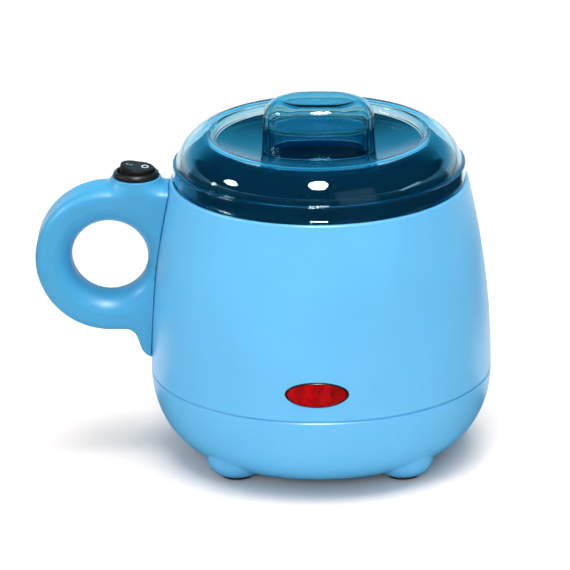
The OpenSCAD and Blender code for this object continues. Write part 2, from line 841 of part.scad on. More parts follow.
// Upright slab with rounded long edges that joins the ring to the body
module handle_slab(thick, edge, low, high, x0) {
    mid = (low + high) / 2;
    translate([x0, 0, mid]) rotate([90, 0, 90]) linear_extrude(-x0) {
        square([thick - 2 * edge, high - low], center = true);
        square([thick, high - low - 2 * edge], center = true);
        for (sx = [-1, 1], sz = [-1, 1])
            translate([sx * (thick / 2 - edge), sz * ((high - low) / 2 - edge)]) circle(edge);
    }
}

// Side outline of the tail that runs down the body
module tail_outline() {
    top = ring_low_z + tail_root;
    polygon([[tail_x - tail_lean, top], [tail_x - tail_lean, ring_low_z],
             [tail_x, tail_z + tail_corner_r],
             [tail_x + tail_corner_r, tail_z + tail_corner_r], [tail_x + tail_corner_r, tail_z],
             [-body_r + tail_root, tail_z], [-body_r + tail_root, top]]);
    translate([tail_x + tail_corner_r, tail_z + tail_corner_r]) circle(tail_corner_r);
}

// Concave corner between the ring and the tail
module tail_fillet() {
    low = ring_low_z - tail_fillet_r;
    difference() {
        translate([tail_x - tail_lean - tail_fillet_r, low])
            square([tail_fillet_r * (1 + 1.5 * tail_slope), tail_fillet_r + 1]);
        translate([tail_x - tail_lean - tail_fillet_r * (1 - tail_slope), low])
            circle(tail_fillet_r);
    }
}

// Tail of the handle, rounded along its outer edges
module handle_tail() {
    intersection() {
        translate([0, half_t, 0]) rotate([90, 0, 0]) linear_extrude(handle_t) tail_outline();
        translate([tail_x, 0, tail_z + tail_corner_r]) rotate([0, -atan(tail_slope), 0])
            translate([0, 0, -2 * tail_corner_r]) linear_extrude(4 * tail_corner_r + 2 * tail_l)
                mirror([1, 0]) rounded_right(-handle_t, 0, half_t, tail_edge_r);
    }
    translate([0, half_t - handle_edge_r, 0]) rotate([90, 0, 0])
        linear_extrude(handle_t - 2 * handle_edge_r) tail_fillet();
}

// Ring of the handle before the finger hole is cut
module ring_disc() {
    translate([ring_x, 0, ring_z]) rotate([90, 0, 0]) rotate_extrude()
        rounded_right(0, ring_r, half_t, handle_edge_r);
}

// Cutter for the finger hole, with its rounded mouth on both faces
module finger_cut() {
    translate([ring_x, 0, ring_z]) rotate([90, 0, 0]) rotate_extrude() difference() {
        translate([0, -half_t - 1]) square([finger_r + finger_edge_r, handle_t + 2]);
        translate([finger_r, -half_t + finger_edge_r])
            square([finger_edge_r + 1, handle_t - 2 * finger_edge_r]);
        for (s = [-1, 1]) translate([finger_r + finger_edge_r, s * (half_t - finger_edge_r)])
            circle(finger_edge_r);
    }
}

// Round boss under the switch, flared from the rounded edges of the handle upwards
module switch_boss() {
    flare_h = switch_z - split_z - 1;
    intersection() {
        translate([-switch_x, 0, 0]) rotate_extrude() polygon(concat(
            [[0, split_z - 1], [boss_r, split_z - 1]],
            [for (i = [0:4]) let (t = 90 * i / 4)
                [boss_r + boss_flare_w * (1 - sin(t)), split_z + flare_h * (1 - cos(t))]],
            [[boss_r, switch_z], [0, switch_z]]
        ));
        translate([-switch_x - 2 * boss_r, -half_t, split_z - 2])
            cube([4 * boss_r, handle_t, 4 * handle_edge_r]);
    }
}

// Outer form of the whole handle, cut to the barrel
module handle_form() {
    difference() {
        union() {
            ring_disc();
            handle_slab(handle_t, handle_edge_r, ring_low_z, ring_top_z, ring_x);
            handle_tail();
            switch_boss();
        }
        finger_cut();
        barrel_solid(seam_z, rim_z + 10, -fit_gap);
    }
}

// Hollow of the handle shell: a channel round the ring and the room for the switch
module handle_hollow() {
    y0 = -half_t + handle_wall;
    in_r = finger_r + finger_edge_r - 1;
    intersection() {
        translate([ring_x, cover_y, ring_z]) rotate([90, 0, 0]) rotate_extrude()
            translate([in_r, 0]) square([ring_r - handle_wall - 0.4 - in_r, cover_y - y0]);
        translate([-handle_reach, -half_t, 0]) cube([hollow_x + handle_reach, handle_t, switch_z]);
    }
    translate([-switch_x, -wire_h, wire_z0]) cube([switch_x / 4, 2 * wire_h - 1, wire_h]);
    switch_bore();
}

// Bore for the round body of the switch
module switch_bore() {
    depth = switch_depth + terminal_l + 1;
    translate([-switch_x, 0, switch_z - depth])
        cylinder(r = switch_body_r + fit_gap, h = depth + 1);
}

// Space of the rear cover: behind the shell and below its top wall
module cover_space() {
    translate([-handle_reach - 1, cover_y, 0]) cube([handle_reach, handle_t, split_z]);
}

module handle_shell() {
    color(handle_blue) difference() {
        union() {
            difference() {
                handle_form();
                cover_space();
                handle_hollow();
            }
            cover_posts();
        }
        for (p = cover_screw_spots) translate([p[0], cover_y + eps, p[1]]) rotate([90, 0, 0])
            cylinder(r = pilot_r, h = cover_screw_l);
        for (z = handle_screw_zs) translate([-barrel_x(z) - handle_screw_l + 1, 0, z])
            rotate([0, 90, 0]) cylinder(r = pilot_r, h = 2 * handle_screw_l);
    }
}

// Screw posts of the cover, standing in the hollow of the ring
module cover_posts() {
    for (p = cover_screw_spots) translate([p[0], cover_y, p[1]]) rotate([90, 0, 0])
        cylinder(r = post_r, h = cover_y + half_t - handle_wall + 0.5);
}

// Rear cover of the handle, with counterbored screw holes
module handle_cover() {
    color(handle_blue) difference() {
        intersection() {
            handle_form();
            cover_space();
        }
        switch_bore();
        for (p = cover_screw_spots) translate([p[0], 0, p[1]]) rotate([-90, 0, 0]) {
            cylinder(r = hole_r, h = half_t + 1);
            translate([0, 0, half_t - cover_sink]) cylinder(r = head_r + 0.2, h = cover_sink + 1);
        }
    }
}

module cover_screws() {
    color(steel) for (p = cover_screw_spots)
        translate([p[0], half_t - cover_sink, p[1]]) rotate([90, 0, 0])
            screw_up(cover_screw_l, thread_r);
}

// Screws from inside the body into the root of the handle
module handle_screws() {
    color(steel) for (z = handle_screw_zs)
        translate([-barrel_x(z, shell_wall) + handle_screw_sink, 0, z]) rotate([0, -90, 0])
            screw_up(handle_screw_l, thread_r);
}

// Holes through the wall of the body for the handle screws and the switch leads
module handle_wall_holes() {
    for (z = handle_screw_zs) translate([-barrel_x(z) - 1, 0, z]) rotate([0, 90, 0])
        cylinder(r = hole_r, h = 3 * shell_wall);
    translate([-barrel_x(wire_z0) - 1, 0, wire_z0 + wire_h / 2]) rotate([0, 90, 0])
        cylinder(r = wire_hole_r, h = 3 * shell_wall);
}

// Black switch: bezel on the boss and round body inside it
module switch_housing() {
    color("#141517") translate([-switch_x, 0, switch_z]) difference() {
        union() {
            rotate_extrude() polygon(concat(
                [[0, 0], [bezel_r, 0]],
                arc(bezel_r - bezel_edge_r, bezel_h - bezel_edge_r, bezel_edge_r, 0, 80, 5),
                [[0, bezel_h]]
            ));
            translate([0, 0, -switch_depth]) cylinder(r = switch_body_r, h = switch_depth + eps);
        }
        rotate_extrude() polygon([
            [0, -well_depth], [well_r, -well_depth], [well_r, bezel_h - well_edge],
            [well_r + well_edge, bezel_h + eps], [0, bezel_h + eps]
        ]);
        for (s = [-1, 1]) translate([s * terminal_x, 0, -switch_depth - eps])
            linear_extrude(terminal_in + terminal_play)
                square([terminal_t + 2 * terminal_play, terminal_w + 2 * terminal_play], center = true);
        translate([0, 0, pivot_rise]) rotate([90, 0, 0])
            cylinder(r = pivot_hole_r, h = pivot_l + 2 * terminal_play, center = true);
    }
}

// Rocker with two sloping faces, drawn with its right side pressed
module switch_rocker() {
    color("#1a1b1e") translate([-switch_x, 0, pivot_z]) rotate([0, rocker_tilt, 0]) {
        intersection() {
            sphere(r = well_r - rocker_gap);
            translate([0, 0, -well_r]) cylinder(r = rocker_r, h = 2 * well_r);
            translate([0, rocker_r, 0]) rotate([90, 0, 0]) linear_extrude(2 * rocker_r) polygon([
                [-rocker_r, rocker_lip], [-rocker_keel, -rocker_dip], [rocker_keel, -rocker_dip],
                [rocker_r, rocker_lip], [rocker_r, rocker_rise], [0, rocker_dip], [-rocker_r, rocker_rise]
            ]);
        }
        rotate([90, 0, 0]) cylinder(r = pivot_r, h = pivot_l, center = true);
    }
}

module switch_terminals() {
    color("#c9a24a") for (s = [-1, 1])
        translate([s * terminal_x - switch_x, 0, switch_z - switch_depth - terminal_l])
            linear_extrude(terminal_l + terminal_in) square([terminal_t, terminal_w], center = true);
}

// Outline of the oval lens, widened by a margin
module lens_outline(margin = 0) {
    polygon([for (i = [0:59]) let (t = 6 * i)
        [(lens_l / 2 + margin) * cos(t), (lens_h / 2 + margin) * sin(t)]]);
}

// Prism through the front wall over the lens outline
module lens_prism(margin, y0, y1) {
    translate([0, y1, lens_z]) rotate([90, 0, 0]) linear_extrude(y1 - y0) lens_outline(margin);
}

module lens_opening() {
    lens_prism(lens_gap, -body_r - 1, -body_r + 3 * shell_wall);
}

// Layer of the barrel between two insets, at the heights of the lens
module barrel_skin(outer, inner) {
    difference() {
        barrel_solid(seam_z + 1, lens_z + lens_h, outer);
        barrel_solid(seam_z, lens_z + lens_h + 1, inner);
    }
}

// Red oval window with a flange behind the wall
module indicator_lens() {
    color("#c4161c") {
        intersection() {
            lens_prism(0, -body_r - 2, -body_r + 4 * shell_wall);
            barrel_skin(-lens_bulge, shell_wall + lens_gap);
        }
        intersection() {
            lens_prism(lens_flange, -body_r - 2, -body_r + 5 * shell_wall);
            barrel_skin(shell_wall + fit_gap, shell_wall + fit_gap + lens_flange_t);
        }
    }
}

// Posts behind the lens that carry the lamp holder
module lamp_posts() {
    for (s = [-1, 1]) translate([s * lamp_post_x, lamp_y, lens_z]) rotate([90, 0, 0])
        cylinder(r = lamp_post_r, h = lamp_post_l);
}

module lamp_pilots() {
    for (s = [-1, 1]) translate([s * lamp_post_x, lamp_y + eps, lens_z]) rotate([90, 0, 0])
        cylinder(r = small_screw_r, h = lamp_post_l - lamp_post_r);
}

// White holder of the neon lamp, on the two posts behind the lens
module lamp_holder() {
    color(part_white) difference() {
        union() {
            translate([-lamp_post_x - holder_end, lamp_y + fit_gap / 2, lens_z - holder_h / 2])
                cube([2 * (lamp_post_x + holder_end), holder_t, holder_h]);
            for (s = [-1, 1])
                translate([(s * (neon_l - holder_end) - holder_arm) / 2, neon_y - neon_r, lens_z - holder_h / 2])
                    cube([holder_arm, lamp_y - neon_y + neon_r + holder_t / 2, holder_h]);
        }
        translate([0, neon_y, lens_z]) rotate([0, 90, 0])
            cylinder(r = neon_r + fit_gap, h = 2 * neon_l, center = true);
        for (s = [-1, 1]) translate([s * lamp_post_x, lamp_y - 1, lens_z]) rotate([-90, 0, 0])
            cylinder(r = small_screw_r + 3 * fit_gap, h = holder_t + 2);
    }
}

module lamp_screws() {
    color(steel) for (s = [-1, 1]) translate([s * lamp_post_x, lamp_y + holder_t + fit_gap, lens_z])
        rotate([90, 0, 0]) {
            cylinder(r = small_screw_r - 0.02, h = lamp_screw_l);
            translate([0, 0, -small_head_h]) cylinder(r = small_head_r, h = small_head_h);
        }
}

// Neon lamp lying across the front, with round glass ends
module neon_lamp() {
    color("#ff9a66") translate([0, neon_y, lens_z]) rotate([0, 90, 0]) {
        cylinder(r = neon_r, h = neon_l - 2 * neon_r, center = true);
        for (s = [-1, 1]) translate([0, 0, s * (neon_l / 2 - neon_r)]) sphere(r = neon_r);
    }
}

// Two low posts on the base for the terminal block
module block_posts() {
    for (s = [-1, 1]) translate([s * block_screw_x, 0, block_z - block_gap - base_wall / 2])
        cylinder(r = block_post_r, h = block_gap + base_wall / 2);
}

module block_pilots() {
    for (s = [-1, 1]) translate([s * block_screw_x, 0, block_z - block_gap])
        cylinder(r = pilot_r, h = 2 * block_gap);
}

// Three-way terminal block on the floor of the base
module terminal_block() {
    color(part_white) difference() {
        union() {
            translate([-block_l / 2, -block_w / 2, block_z]) cube([block_l, block_w, block_foot_t]);
            for (i = [-1:1])
                translate([i * block_pitch - block_cell_w / 2, -block_w / 2, block_z + block_foot_t - eps])
                    cube([block_cell_w, block_w, block_h - block_foot_t + eps]);
        }
        for (i = [-1:1]) translate([i * block_pitch, 0, block_z + block_bore_z]) rotate([90, 0, 0])
            cylinder(r = block_bore_r, h = block_w + 1, center = true);
        for (i = [-1:1], s = [-1, 1])
            translate([i * block_pitch, s * wire_screw_y, block_z + block_bore_z])
                cylinder(r = wire_screw_r, h = block_h);
        for (s = [-1, 1]) translate([s * block_screw_x, 0, block_z - 1])
            cylinder(r = hole_r, h = block_h);
    }
}

// Fixing screws of the terminal block and its wire screws
module block_screws() {
    color(steel) {
        for (s = [-1, 1]) translate([s * block_screw_x, 0, block_z + block_foot_t])
            rotate([180, 0, 0]) screw_up(block_screw_l, thread_r);
        for (i = [-1:1], s = [-1, 1])
            translate([i * block_pitch, s * wire_screw_y, block_z + block_bore_z + move_gap])
                cylinder(r = wire_screw_r - fit_gap, h = block_h - block_bore_z - 2 * move_gap);
    }
}

// Hole through the rear wall for the cord gland, and room in the cord shelf for its lip
module gland_hole() {
    translate([0, 0, gland_z]) rotate([-90, 0, 0]) {
        translate([0, 0, gland_in_y - 1]) cylinder(r = gland_r + fit_gap, h = 3 * shell_wall);
        translate([0, 0, gland_in_y - gland_lip - move_gap])
            cylinder(r = gland_r + gland_lip_w + move_gap, h = gland_lip + move_gap);
    }
}

// Rubber gland with a flange on both sides of the rear wall
module cord_gland() {
    lip_r = gland_r + gland_lip_w;
    color("#1d1f23") translate([0, 0, gland_z]) rotate([-90, 0, 0]) difference() {
        union() {
            translate([0, 0, gland_in_y - gland_lip]) cylinder(r = lip_r, h = gland_lip);
            translate([0, 0, gland_in_y - eps])
                cylinder(r = gland_r, h = gland_out_y - gland_in_y + 2 * eps);
            translate([0, 0, gland_out_y]) cylinder(r1 = lip_r, r2 = gland_r, h = gland_flange);
        }
        cylinder(r = cord_bore_r, h = gland_out_y + 2 * gland_flange);
    }
}

// Shelf behind the gland that the cord is clamped on
module cord_shelf() {
    low_y = clamp_y - shelf_w / 2;
    translate([-shelf_l / 2, low_y, clamp_z - cord_shelf_t])
        cube([shelf_l, barrel_x(clamp_z, shell_wall) + cord_shelf_sink - low_y, cord_shelf_t]);
    for (s = [-1, 1]) translate([s * clamp_screw_x, clamp_y, clamp_z - clamp_post_h])
        cylinder(r = clamp_post_r, h = clamp_post_h - cord_shelf_t / 2);
}

module clamp_pilots() {
    for (s = [-1, 1]) translate([s * clamp_screw_x, clamp_y, clamp_z - clamp_post_h - 1])
        cylinder(r = pilot_r, h = clamp_post_h + 2);
}

// Bar that clamps the cord down on the shelf
module cord_clamp() {
    grip_r = cord_bore_r - clamp_grip;
    color(part_white) translate([0, clamp_y, clamp_z]) difference() {
        translate([-shelf_l / 2, -shelf_w / 2, 0]) cube([shelf_l, shelf_w, clamp_h]);
        translate([0, 0, gland_z - clamp_z]) rotate([90, 0, 0])
            cylinder(r = grip_r, h = shelf_w + 1, center = true);
        translate([-grip_r, -shelf_w, -eps]) cube([2 * grip_r, 2 * shelf_w, gland_z - clamp_z]);
        for (s = [-1, 1]) translate([s * clamp_screw_x, 0, -1]) cylinder(r = hole_r, h = 2 * clamp_h);
    }
}

module clamp_screws() {
    color(steel) for (s = [-1, 1]) translate([s * clamp_screw_x, clamp_y, clamp_z + clamp_h])
        rotate([180, 0, 0]) screw_up(clamp_screw_l, thread_r);
}

placed() body_shell();
placed() base_shell();
placed() foot_pad(-1, -1);  // foot_front_left
placed() foot_pad(1, -1);  // foot_front_right
placed() foot_pad(-1, 1);  // foot_rear_left
placed() foot_pad(1, 1);  // foot_rear_right
placed() base_screws();
placed() pot_collar();
placed() collar_screws();
placed() heating_cup();
placed() band_heater();
placed() band_screw();
placed() thermostat();
placed() sensor_bracket();
placed() bracket_screws();
placed() thermal_fuse();
placed() inner_pot();
placed() lid();
placed() lid_knob();
placed() handle_shell();
placed() handle_cover();
placed() handle_screws();
placed() cover_screws();
placed() switch_housing();
placed() switch_rocker();
placed() switch_terminals();
placed() indicator_lens();
placed() neon_lamp();
placed() lamp_holder();
placed() lamp_screws();
placed() terminal_block();
placed() block_screws();
placed() cord_gland();
placed() cord_clamp();
placed() clamp_screws();
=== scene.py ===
# Looks of the wax warmer: surfaces, materials, light and camera.
# Lengths are in millimetres, measured from the axis of the body on the table.
# to_row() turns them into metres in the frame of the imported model.
import math

import bmesh
import bpy
import numpy as np
from mathutils import Matrix, Vector


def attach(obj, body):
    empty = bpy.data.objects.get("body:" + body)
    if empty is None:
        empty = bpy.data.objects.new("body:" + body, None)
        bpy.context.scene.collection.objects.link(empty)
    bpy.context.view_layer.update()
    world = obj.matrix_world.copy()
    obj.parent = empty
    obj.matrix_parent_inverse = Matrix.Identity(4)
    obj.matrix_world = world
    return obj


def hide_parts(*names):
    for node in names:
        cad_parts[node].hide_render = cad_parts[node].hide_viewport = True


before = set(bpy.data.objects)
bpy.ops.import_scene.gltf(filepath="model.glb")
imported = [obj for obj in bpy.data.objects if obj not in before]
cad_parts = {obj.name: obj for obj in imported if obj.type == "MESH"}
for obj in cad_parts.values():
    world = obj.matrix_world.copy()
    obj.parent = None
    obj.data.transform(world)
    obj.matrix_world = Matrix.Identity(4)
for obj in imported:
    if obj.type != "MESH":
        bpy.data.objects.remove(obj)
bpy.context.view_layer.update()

MM = 0.001
SEGMENTS = 192
BRACE_NEAR = 0.06
BRACE_SPAN = 0.5

# Body and base
BODY_R = 65.0
BELLY_Z = 36.0
BARREL_R = 317.0
RIM_Z = 108.6
RIM_EDGE_R = 1.2
RIM_LAND = 3.2
SHELL_WALL = 2.4
SHELF_DROP = 4.0
SEAM_Z = 33.5
SEAM_GROOVE = 0.5
SEAM_LIP = 0.8
SEAM_LAP = 3.0
UNDERSIDE_Z = 2.5
BASE_FLAT_R = 40.0
BASE_WALL = 2.4

# Feet
FOOT_POS = 31.5
STUB_R = 6.9
STUB_FLARE = 4.8
STUB_FLARE_H = 6.3
STUB_H = 11.0
STUB_Z = 1.2
PAD_R = 6.3
PAD_T = 2.6
VENT_COUNT = 8
VENT_LEN = 13.0
VENT_W = 2.6
VENT_R = 12.0

# Pot and collar
POT_R = 47.4
POT_BOTTOM_R = 45.0
POT_BOTTOM_Z = 67.5
POT_WALL = 1.4
POT_CORNER_R = 6.0
FLANGE_R = 52.0
FLANGE_T = 1.6
ROLL_H = 1.2
COLLAR_H = 8.2
CUP_FLANGE_T = 1.2

# Lid
LID_R = 55.6
LID_WALL = 1.7
LIP_W = 0.4
LID_STEP_Z = 115.5
CREST_Z = 128.5
CREST_R = 39.0
DOME_Z = RIM_Z + 1.4
BROW_R = 4.9
BROW_X = 43.0
BROW_Z = 127.6 - BROW_R
RIDGE_R = 0.5
RECESS_R = 39.7
RECESS_Z = 120.0
DISH_R = 19.0
DISH_H = 3.8
DISH_FILLET_R = 1.0

# Knob and the hollow boss under it
KNOB_L = 43.2
KNOB_W = 27.6
KNOB_DRAFT = 1.1
KNOB_H = 20.3
KNOB_WALL = 1.75
KNOB_END_R = 7.0
KNOB_SIDE_R = 5.0
KNOB_INSIDE_R = 3.4
KNOB_CORNER_R = 9.0
KNOB_BULGE = 0.0008
KNOB_SEAT_GAP = 0.06
BOSS_H = 10.5
BOSS_WALL = 1.8
BOSS_FOOT_R = 0.8
MOVE_GAP = 0.4

# Handle
HANDLE_REACH = 108.4
RING_Z = 78.1
RING_R = 28.3
FINGER_R = 14.5
FINGER_EDGE_R = 8.6
HANDLE_T = 20.0
HANDLE_EDGE_R = 4.5
COVER_T = 4.5
TAIL_Z = 38.9
TAIL_X = -68.6
TAIL_LEAN = 2.3
TAIL_CORNER_R = 4.0
TAIL_EDGE_R = 2.5
TAIL_FILLET_R = 3.0
ROOT_GAP = 0.12
ROOT_EDGE_R = 0.25
SIDE_EDGE_R = 0.8
BOSS_EDGE_R = 0.35
PART_GAP = 0.12
PART_EDGE_R = 0.15
BORE_GAP = 0.1
BORE_END = 12.0
BORE_WALL = 1.2
COVER_SCREW_INSET = 5.8
COVER_SINK_R = 3.0
COVER_SINK = 2.5
NET_CELL = 0.55

# Switch
SWITCH_X = 69.6
SWITCH_Z = 109.4
BEZEL_R = 8.9
BEZEL_H = 2.4
SWITCH_BODY_R = 7.7
ROCKER_R = 6.5
ROCKER_TILT = 8.0
ROCKER_RISE = 4.4
ROCKER_DIP = 3.8
ROCKER_EDGE_R = 0.7
ROCKER_FOOT = 2.0
BOSS_R = BEZEL_R + 0.5
BOSS_FLARE_R = 4.0
MARK_T = 0.05

# Lens
LENS_L = 23.6
LENS_H = 9.4
LENS_Z = 44.4
LENS_GAP = 0.3
LENS_BULGE = 0.5
LENS_STEPS = 96

# Cord gland
GLAND_Z = 46.0
CORD_BORE_R = 3.1
GLAND_R = 5.0
GLAND_HOLE_R = GLAND_R * 1.02
GLAND_FLANGE_R = GLAND_R + 1.5

RING_X = RING_R - HANDLE_REACH
BODY_AXIS_X = (HANDLE_REACH - BODY_R) / 2
HALF_T = HANDLE_T / 2
COVER_Y = HALF_T - COVER_T
SPLIT_Z = RING_Z + RING_R - HANDLE_EDGE_R
BARREL_AXIS_R = BODY_R - BARREL_R


def barrel_r(z, inset=0.0):
    """Radius of the barrel at a height, or of its inside at an inset."""
    return BARREL_AXIS_R + np.sqrt((BARREL_R - inset) ** 2 - (z - BELLY_Z) ** 2)


SHELF_Z = RIM_Z - SHELF_DROP
CUP_TOP_Z = SHELF_Z + CUP_FLANGE_T
COLLAR_Z = CUP_TOP_Z + COLLAR_H
COLLAR_R = LID_R - LID_WALL - MOVE_GAP
POT_FILLET_R = 1.5
COLLAR_IN_R = POT_R + POT_FILLET_R + MOVE_GAP
FLANGE_Z = COLLAR_Z + 0.3 + FLANGE_T
RIM_R = float(barrel_r(RIM_Z - RIM_EDGE_R))


# Meshes from points and faces

def to_row(points):
    """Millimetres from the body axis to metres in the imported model's frame."""
    points = np.asarray(points, float).reshape(-1, 3)
    return (points + [BODY_AXIS_X, 0.0, 0.0]) * MM


def row_mesh(name, points, faces):
    """Mesh from points in millimetres."""
    mesh = bpy.data.meshes.new(name)
    mesh.from_pydata(to_row(points).tolist(), [], [list(map(int, f)) for f in faces])
    return mesh


def linked(name, data):
    """New object that holds the data, in the scene's collection."""
    obj = bpy.data.objects.new(name, data)
    bpy.context.scene.collection.objects.link(obj)
    return obj


def new_piece(name, points, faces, material, body, slot, normals=None):
    """Makes a smooth piece from points in millimetres and lets it ride on a body."""
    mesh = row_mesh(name, points, faces)
    mesh.validate()
    mesh.shade_smooth()
    if normals is not None:
        mesh.normals_split_custom_set_from_vertices(normals.tolist())
    piece = linked(name, mesh)
    mesh.materials.append(material)
    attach(piece, body)
    return piece


def loft(loops, close_start=True, close_end=True):
    """Points and faces of a solid through loops that have equal numbers of points."""
    count = len(loops[0])
    points = np.concatenate([np.asarray(loop, float) for loop in loops])
    faces = []
    for k in range(len(loops) - 1):
        for i in range(count):
            j = (i + 1) % count
            low, high = k * count, (k + 1) * count
            faces.append((low + i, low + j, high + j, high + i))
    points = list(points)
    for closed, first in ((close_start, 0), (close_end, (len(loops) - 1) * count)):
        if not closed:
            continue
        centre = np.mean(points[first:first + count], axis=0)
        points.append(centre)
        tip = len(points) - 1
        for i in range(count):
            j = (i + 1) % count
            pair = (first + i, first + j) if first else (first + j, first + i)
            faces.append((*pair, tip))
    return np.array(points), faces


def full_turn(count):
    """Angles of a number of even steps round a circle."""
    return 2 * math.pi * np.arange(count) / count


def circle(radius, z, segments=SEGMENTS):
    """Loop of points on a horizontal circle round the body axis."""
    t = full_turn(segments)
    return np.stack([radius * np.cos(t), radius * np.sin(t), np.full(segments, z)], 1)


def upright_oval(half_x, half_z, y, z, count):
    """Loop of points on an oval that stands across the Y axis."""
    t = full_turn(count)
    return np.stack([half_x * np.cos(t), np.full(count, y), z + half_z * np.sin(t)], 1)


def arc(cx, cz, radius, start, end, steps=8):
    """Points of an arc in the profile plane, angles in degrees."""
    t = np.radians(np.linspace(start, end, steps + 1))
    return [(cx + radius * math.cos(a), cz + radius * math.sin(a)) for a in t]


def round_corners(profile, radius, steps=4):
    """Profile with each sharp corner replaced by a small arc, ends kept."""
    out = [profile[0]]
    for before, corner, after in zip(profile, profile[1:], profile[2:]):
        a, p, b = (np.array(q, float) for q in (before, corner, after))
        u, v = a - p, b - p
        lu, lv = np.linalg.norm(u), np.linalg.norm(v)
        if lu < 1e-9 or lv < 1e-9:
            continue
        u, v = u / lu, v / lv
        turn = math.acos(max(-1.0, min(1.0, float(-u @ v))))
        if turn < math.radians(12):
            out.append(tuple(p))
            continue
        cut = min(radius * math.tan(turn / 2), 0.45 * lu, 0.45 * lv)
        start, end = p + u * cut, p + v * cut
        for s in np.linspace(0, 1, steps + 1):
            out.append(tuple((1 - s) ** 2 * start + 2 * s * (1 - s) * p + s * s * end))
    out.append(profile[-1])
    return out


def braced(profile):
    """Profile with points added close to the ends of its long stretches, so flats shade flat."""
    out = [profile[0]]
    for a, b in zip(profile, profile[1:]):
        span = math.hypot(b[0] - a[0], b[1] - a[1])
        if span > BRACE_SPAN:
            for share in (BRACE_NEAR / span, 1 - BRACE_NEAR / span):
                out.append((a[0] + (b[0] - a[0]) * share, a[1] + (b[1] - a[1]) * share))
        out.append(b)
    return out


def lathe(profile, segments=SEGMENTS):
    """Closed solid of revolution; a profile that starts and ends on the axis, or a ring."""
    profile = braced(profile)
    on_axis = profile[0][0] < 1e-6
    rows = [p for p in profile if p[0] > 1e-6]
    loops = [circle(r, z, segments) for r, z in rows]
    if on_axis:
        return loft(loops)
    return loft(loops + [loops[0]], False, False)


def merged(points, faces, limit=1e-4):
    """The same mesh with points in one place joined."""
    keys = {}
    index = []
    kept = []
    for p in np.round(points / limit).astype(np.int64):
        key = tuple(p)
        if key not in keys:
            keys[key] = len(kept)
            kept.append(len(index))
        index.append(keys[key])
    clean = []
    for face in faces:
        ring = [index[i] for i in face]
        ring = [a for k, a in enumerate(ring) if a != ring[k - 1]]
        if len(set(ring)) > 2:
            clean.append(ring)
    return np.asarray(points)[kept], clean


def turned(name, profile, material, body, slot, segments=SEGMENTS, move=(0, 0, 0)):
    """Piece of revolution round a vertical axis."""
    points, faces = merged(*lathe(profile, segments))
    return outward(new_piece(name, points + np.array(move), faces, material, body, slot))


def paint_where(piece, second, chosen):
    """Gives faces a second material where chosen(centre in millimetres, normal) holds."""
    piece.data.materials.append(second)
    for face in piece.data.polygons:
        centre = face.center / MM - Vector((BODY_AXIS_X, 0, 0))
        if chosen(centre, face.normal):
            face.material_index = 1


def outward(piece):
    """Turns every face of a closed piece to face outwards."""
    bm = bmesh.new()
    bm.from_mesh(piece.data)
    bmesh.ops.recalc_face_normals(bm, faces=bm.faces)
    bm.to_mesh(piece.data)
    bm.free()
    piece.data.shade_smooth()
    return piece


def cutter(points, faces):
    """Bare mesh object that only cuts or joins."""
    return outward(linked("cutter", row_mesh("cutter", *merged(points, faces))))


def cut_with(piece, tools, operation="DIFFERENCE"):
    """Cuts a piece with each tool, or joins them to it, and deletes the tools."""
    for tool in tools:
        modifier = piece.modifiers.new("cut", "BOOLEAN")
        modifier.operation = operation
        modifier.solver = "EXACT"
        modifier.object = tool
        depsgraph = bpy.context.evaluated_depsgraph_get()
        mesh = bpy.data.meshes.new_from_object(piece.evaluated_get(depsgraph))
        piece.modifiers.clear()
        old = piece.data
        piece.data = mesh
        bpy.data.meshes.remove(old)
        bpy.data.objects.remove(tool)
    piece.data.name = piece.name
    return piece


def sharp_by_angle(piece, degrees):
    """Smooth shading with hard edges where faces meet at more than an angle."""
    piece.data.shade_smooth()
    piece.data.set_sharp_from_angle(angle=math.radians(degrees))
    return piece


# Signed distance forms for the blended handle

def round_max(a, b, r):
    """Intersection of two distances with a rounded convex edge."""
    u, v = np.maximum(a + r, 0), np.maximum(b + r, 0)
    return np.minimum(np.maximum(a, b), -r) + np.sqrt(u * u + v * v)


def round_min(a, b, r):
    """Union of two distances with a rounded concave edge."""
    u, v = np.maximum(r - a, 0), np.maximum(r - b, 0)
    return np.maximum(np.minimum(a, b), r) - np.sqrt(u * u + v * v)


def finger_hole(p):
    """Distance to the flared finger hole, positive inside the hole."""
    hole = FINGER_R - np.hypot(p[..., 0] - RING_X, p[..., 2] - RING_Z)
    return round_max(hole, np.abs(p[..., 1]) - HALF_T, FINGER_EDGE_R)


def handle_form(p):
    """Distance to the outer form of the handle, before it is parted."""
    x, y, z = p[..., 0], p[..., 1], p[..., 2]
    side = np.abs(y) - HALF_T
    rho = np.hypot(np.minimum(x - RING_X, 0), z - RING_Z)
    stadium = round_max(rho - RING_R, side, HANDLE_EDGE_R)
    slope = TAIL_LEAN / (RING_Z - RING_R - TAIL_Z - TAIL_CORNER_R)
    lean = (TAIL_X - (z - TAIL_Z - TAIL_CORNER_R) * slope - x) / math.hypot(1, slope)
    tail = round_max(lean, TAIL_Z - z, TAIL_CORNER_R)
    tail = round_max(tail, side, TAIL_EDGE_R)
    tail = np.maximum(tail, z - RING_Z)
    form = round_min(stadium, tail, TAIL_FILLET_R)
    boss = round_max(np.hypot(x + SWITCH_X, y) - BOSS_R, z - SWITCH_Z, BOSS_EDGE_R)
    boss = np.maximum(boss, RING_Z - z)
    form = round_min(form, boss, BOSS_FLARE_R)
    form = round_max(form, side, SIDE_EDGE_R)
    return round_max(form, finger_hole(p), 0.0)


def switch_bore(p):
    """Bore for the switch body, which stops short of the finger hole."""
    x, y, z = p[..., 0], p[..., 1], p[..., 2]
    wall = np.hypot(x + SWITCH_X, y) - SWITCH_BODY_R - BORE_GAP
    return np.maximum(np.maximum(wall, RING_Z + BORE_END - z), finger_hole(p) + BORE_WALL)


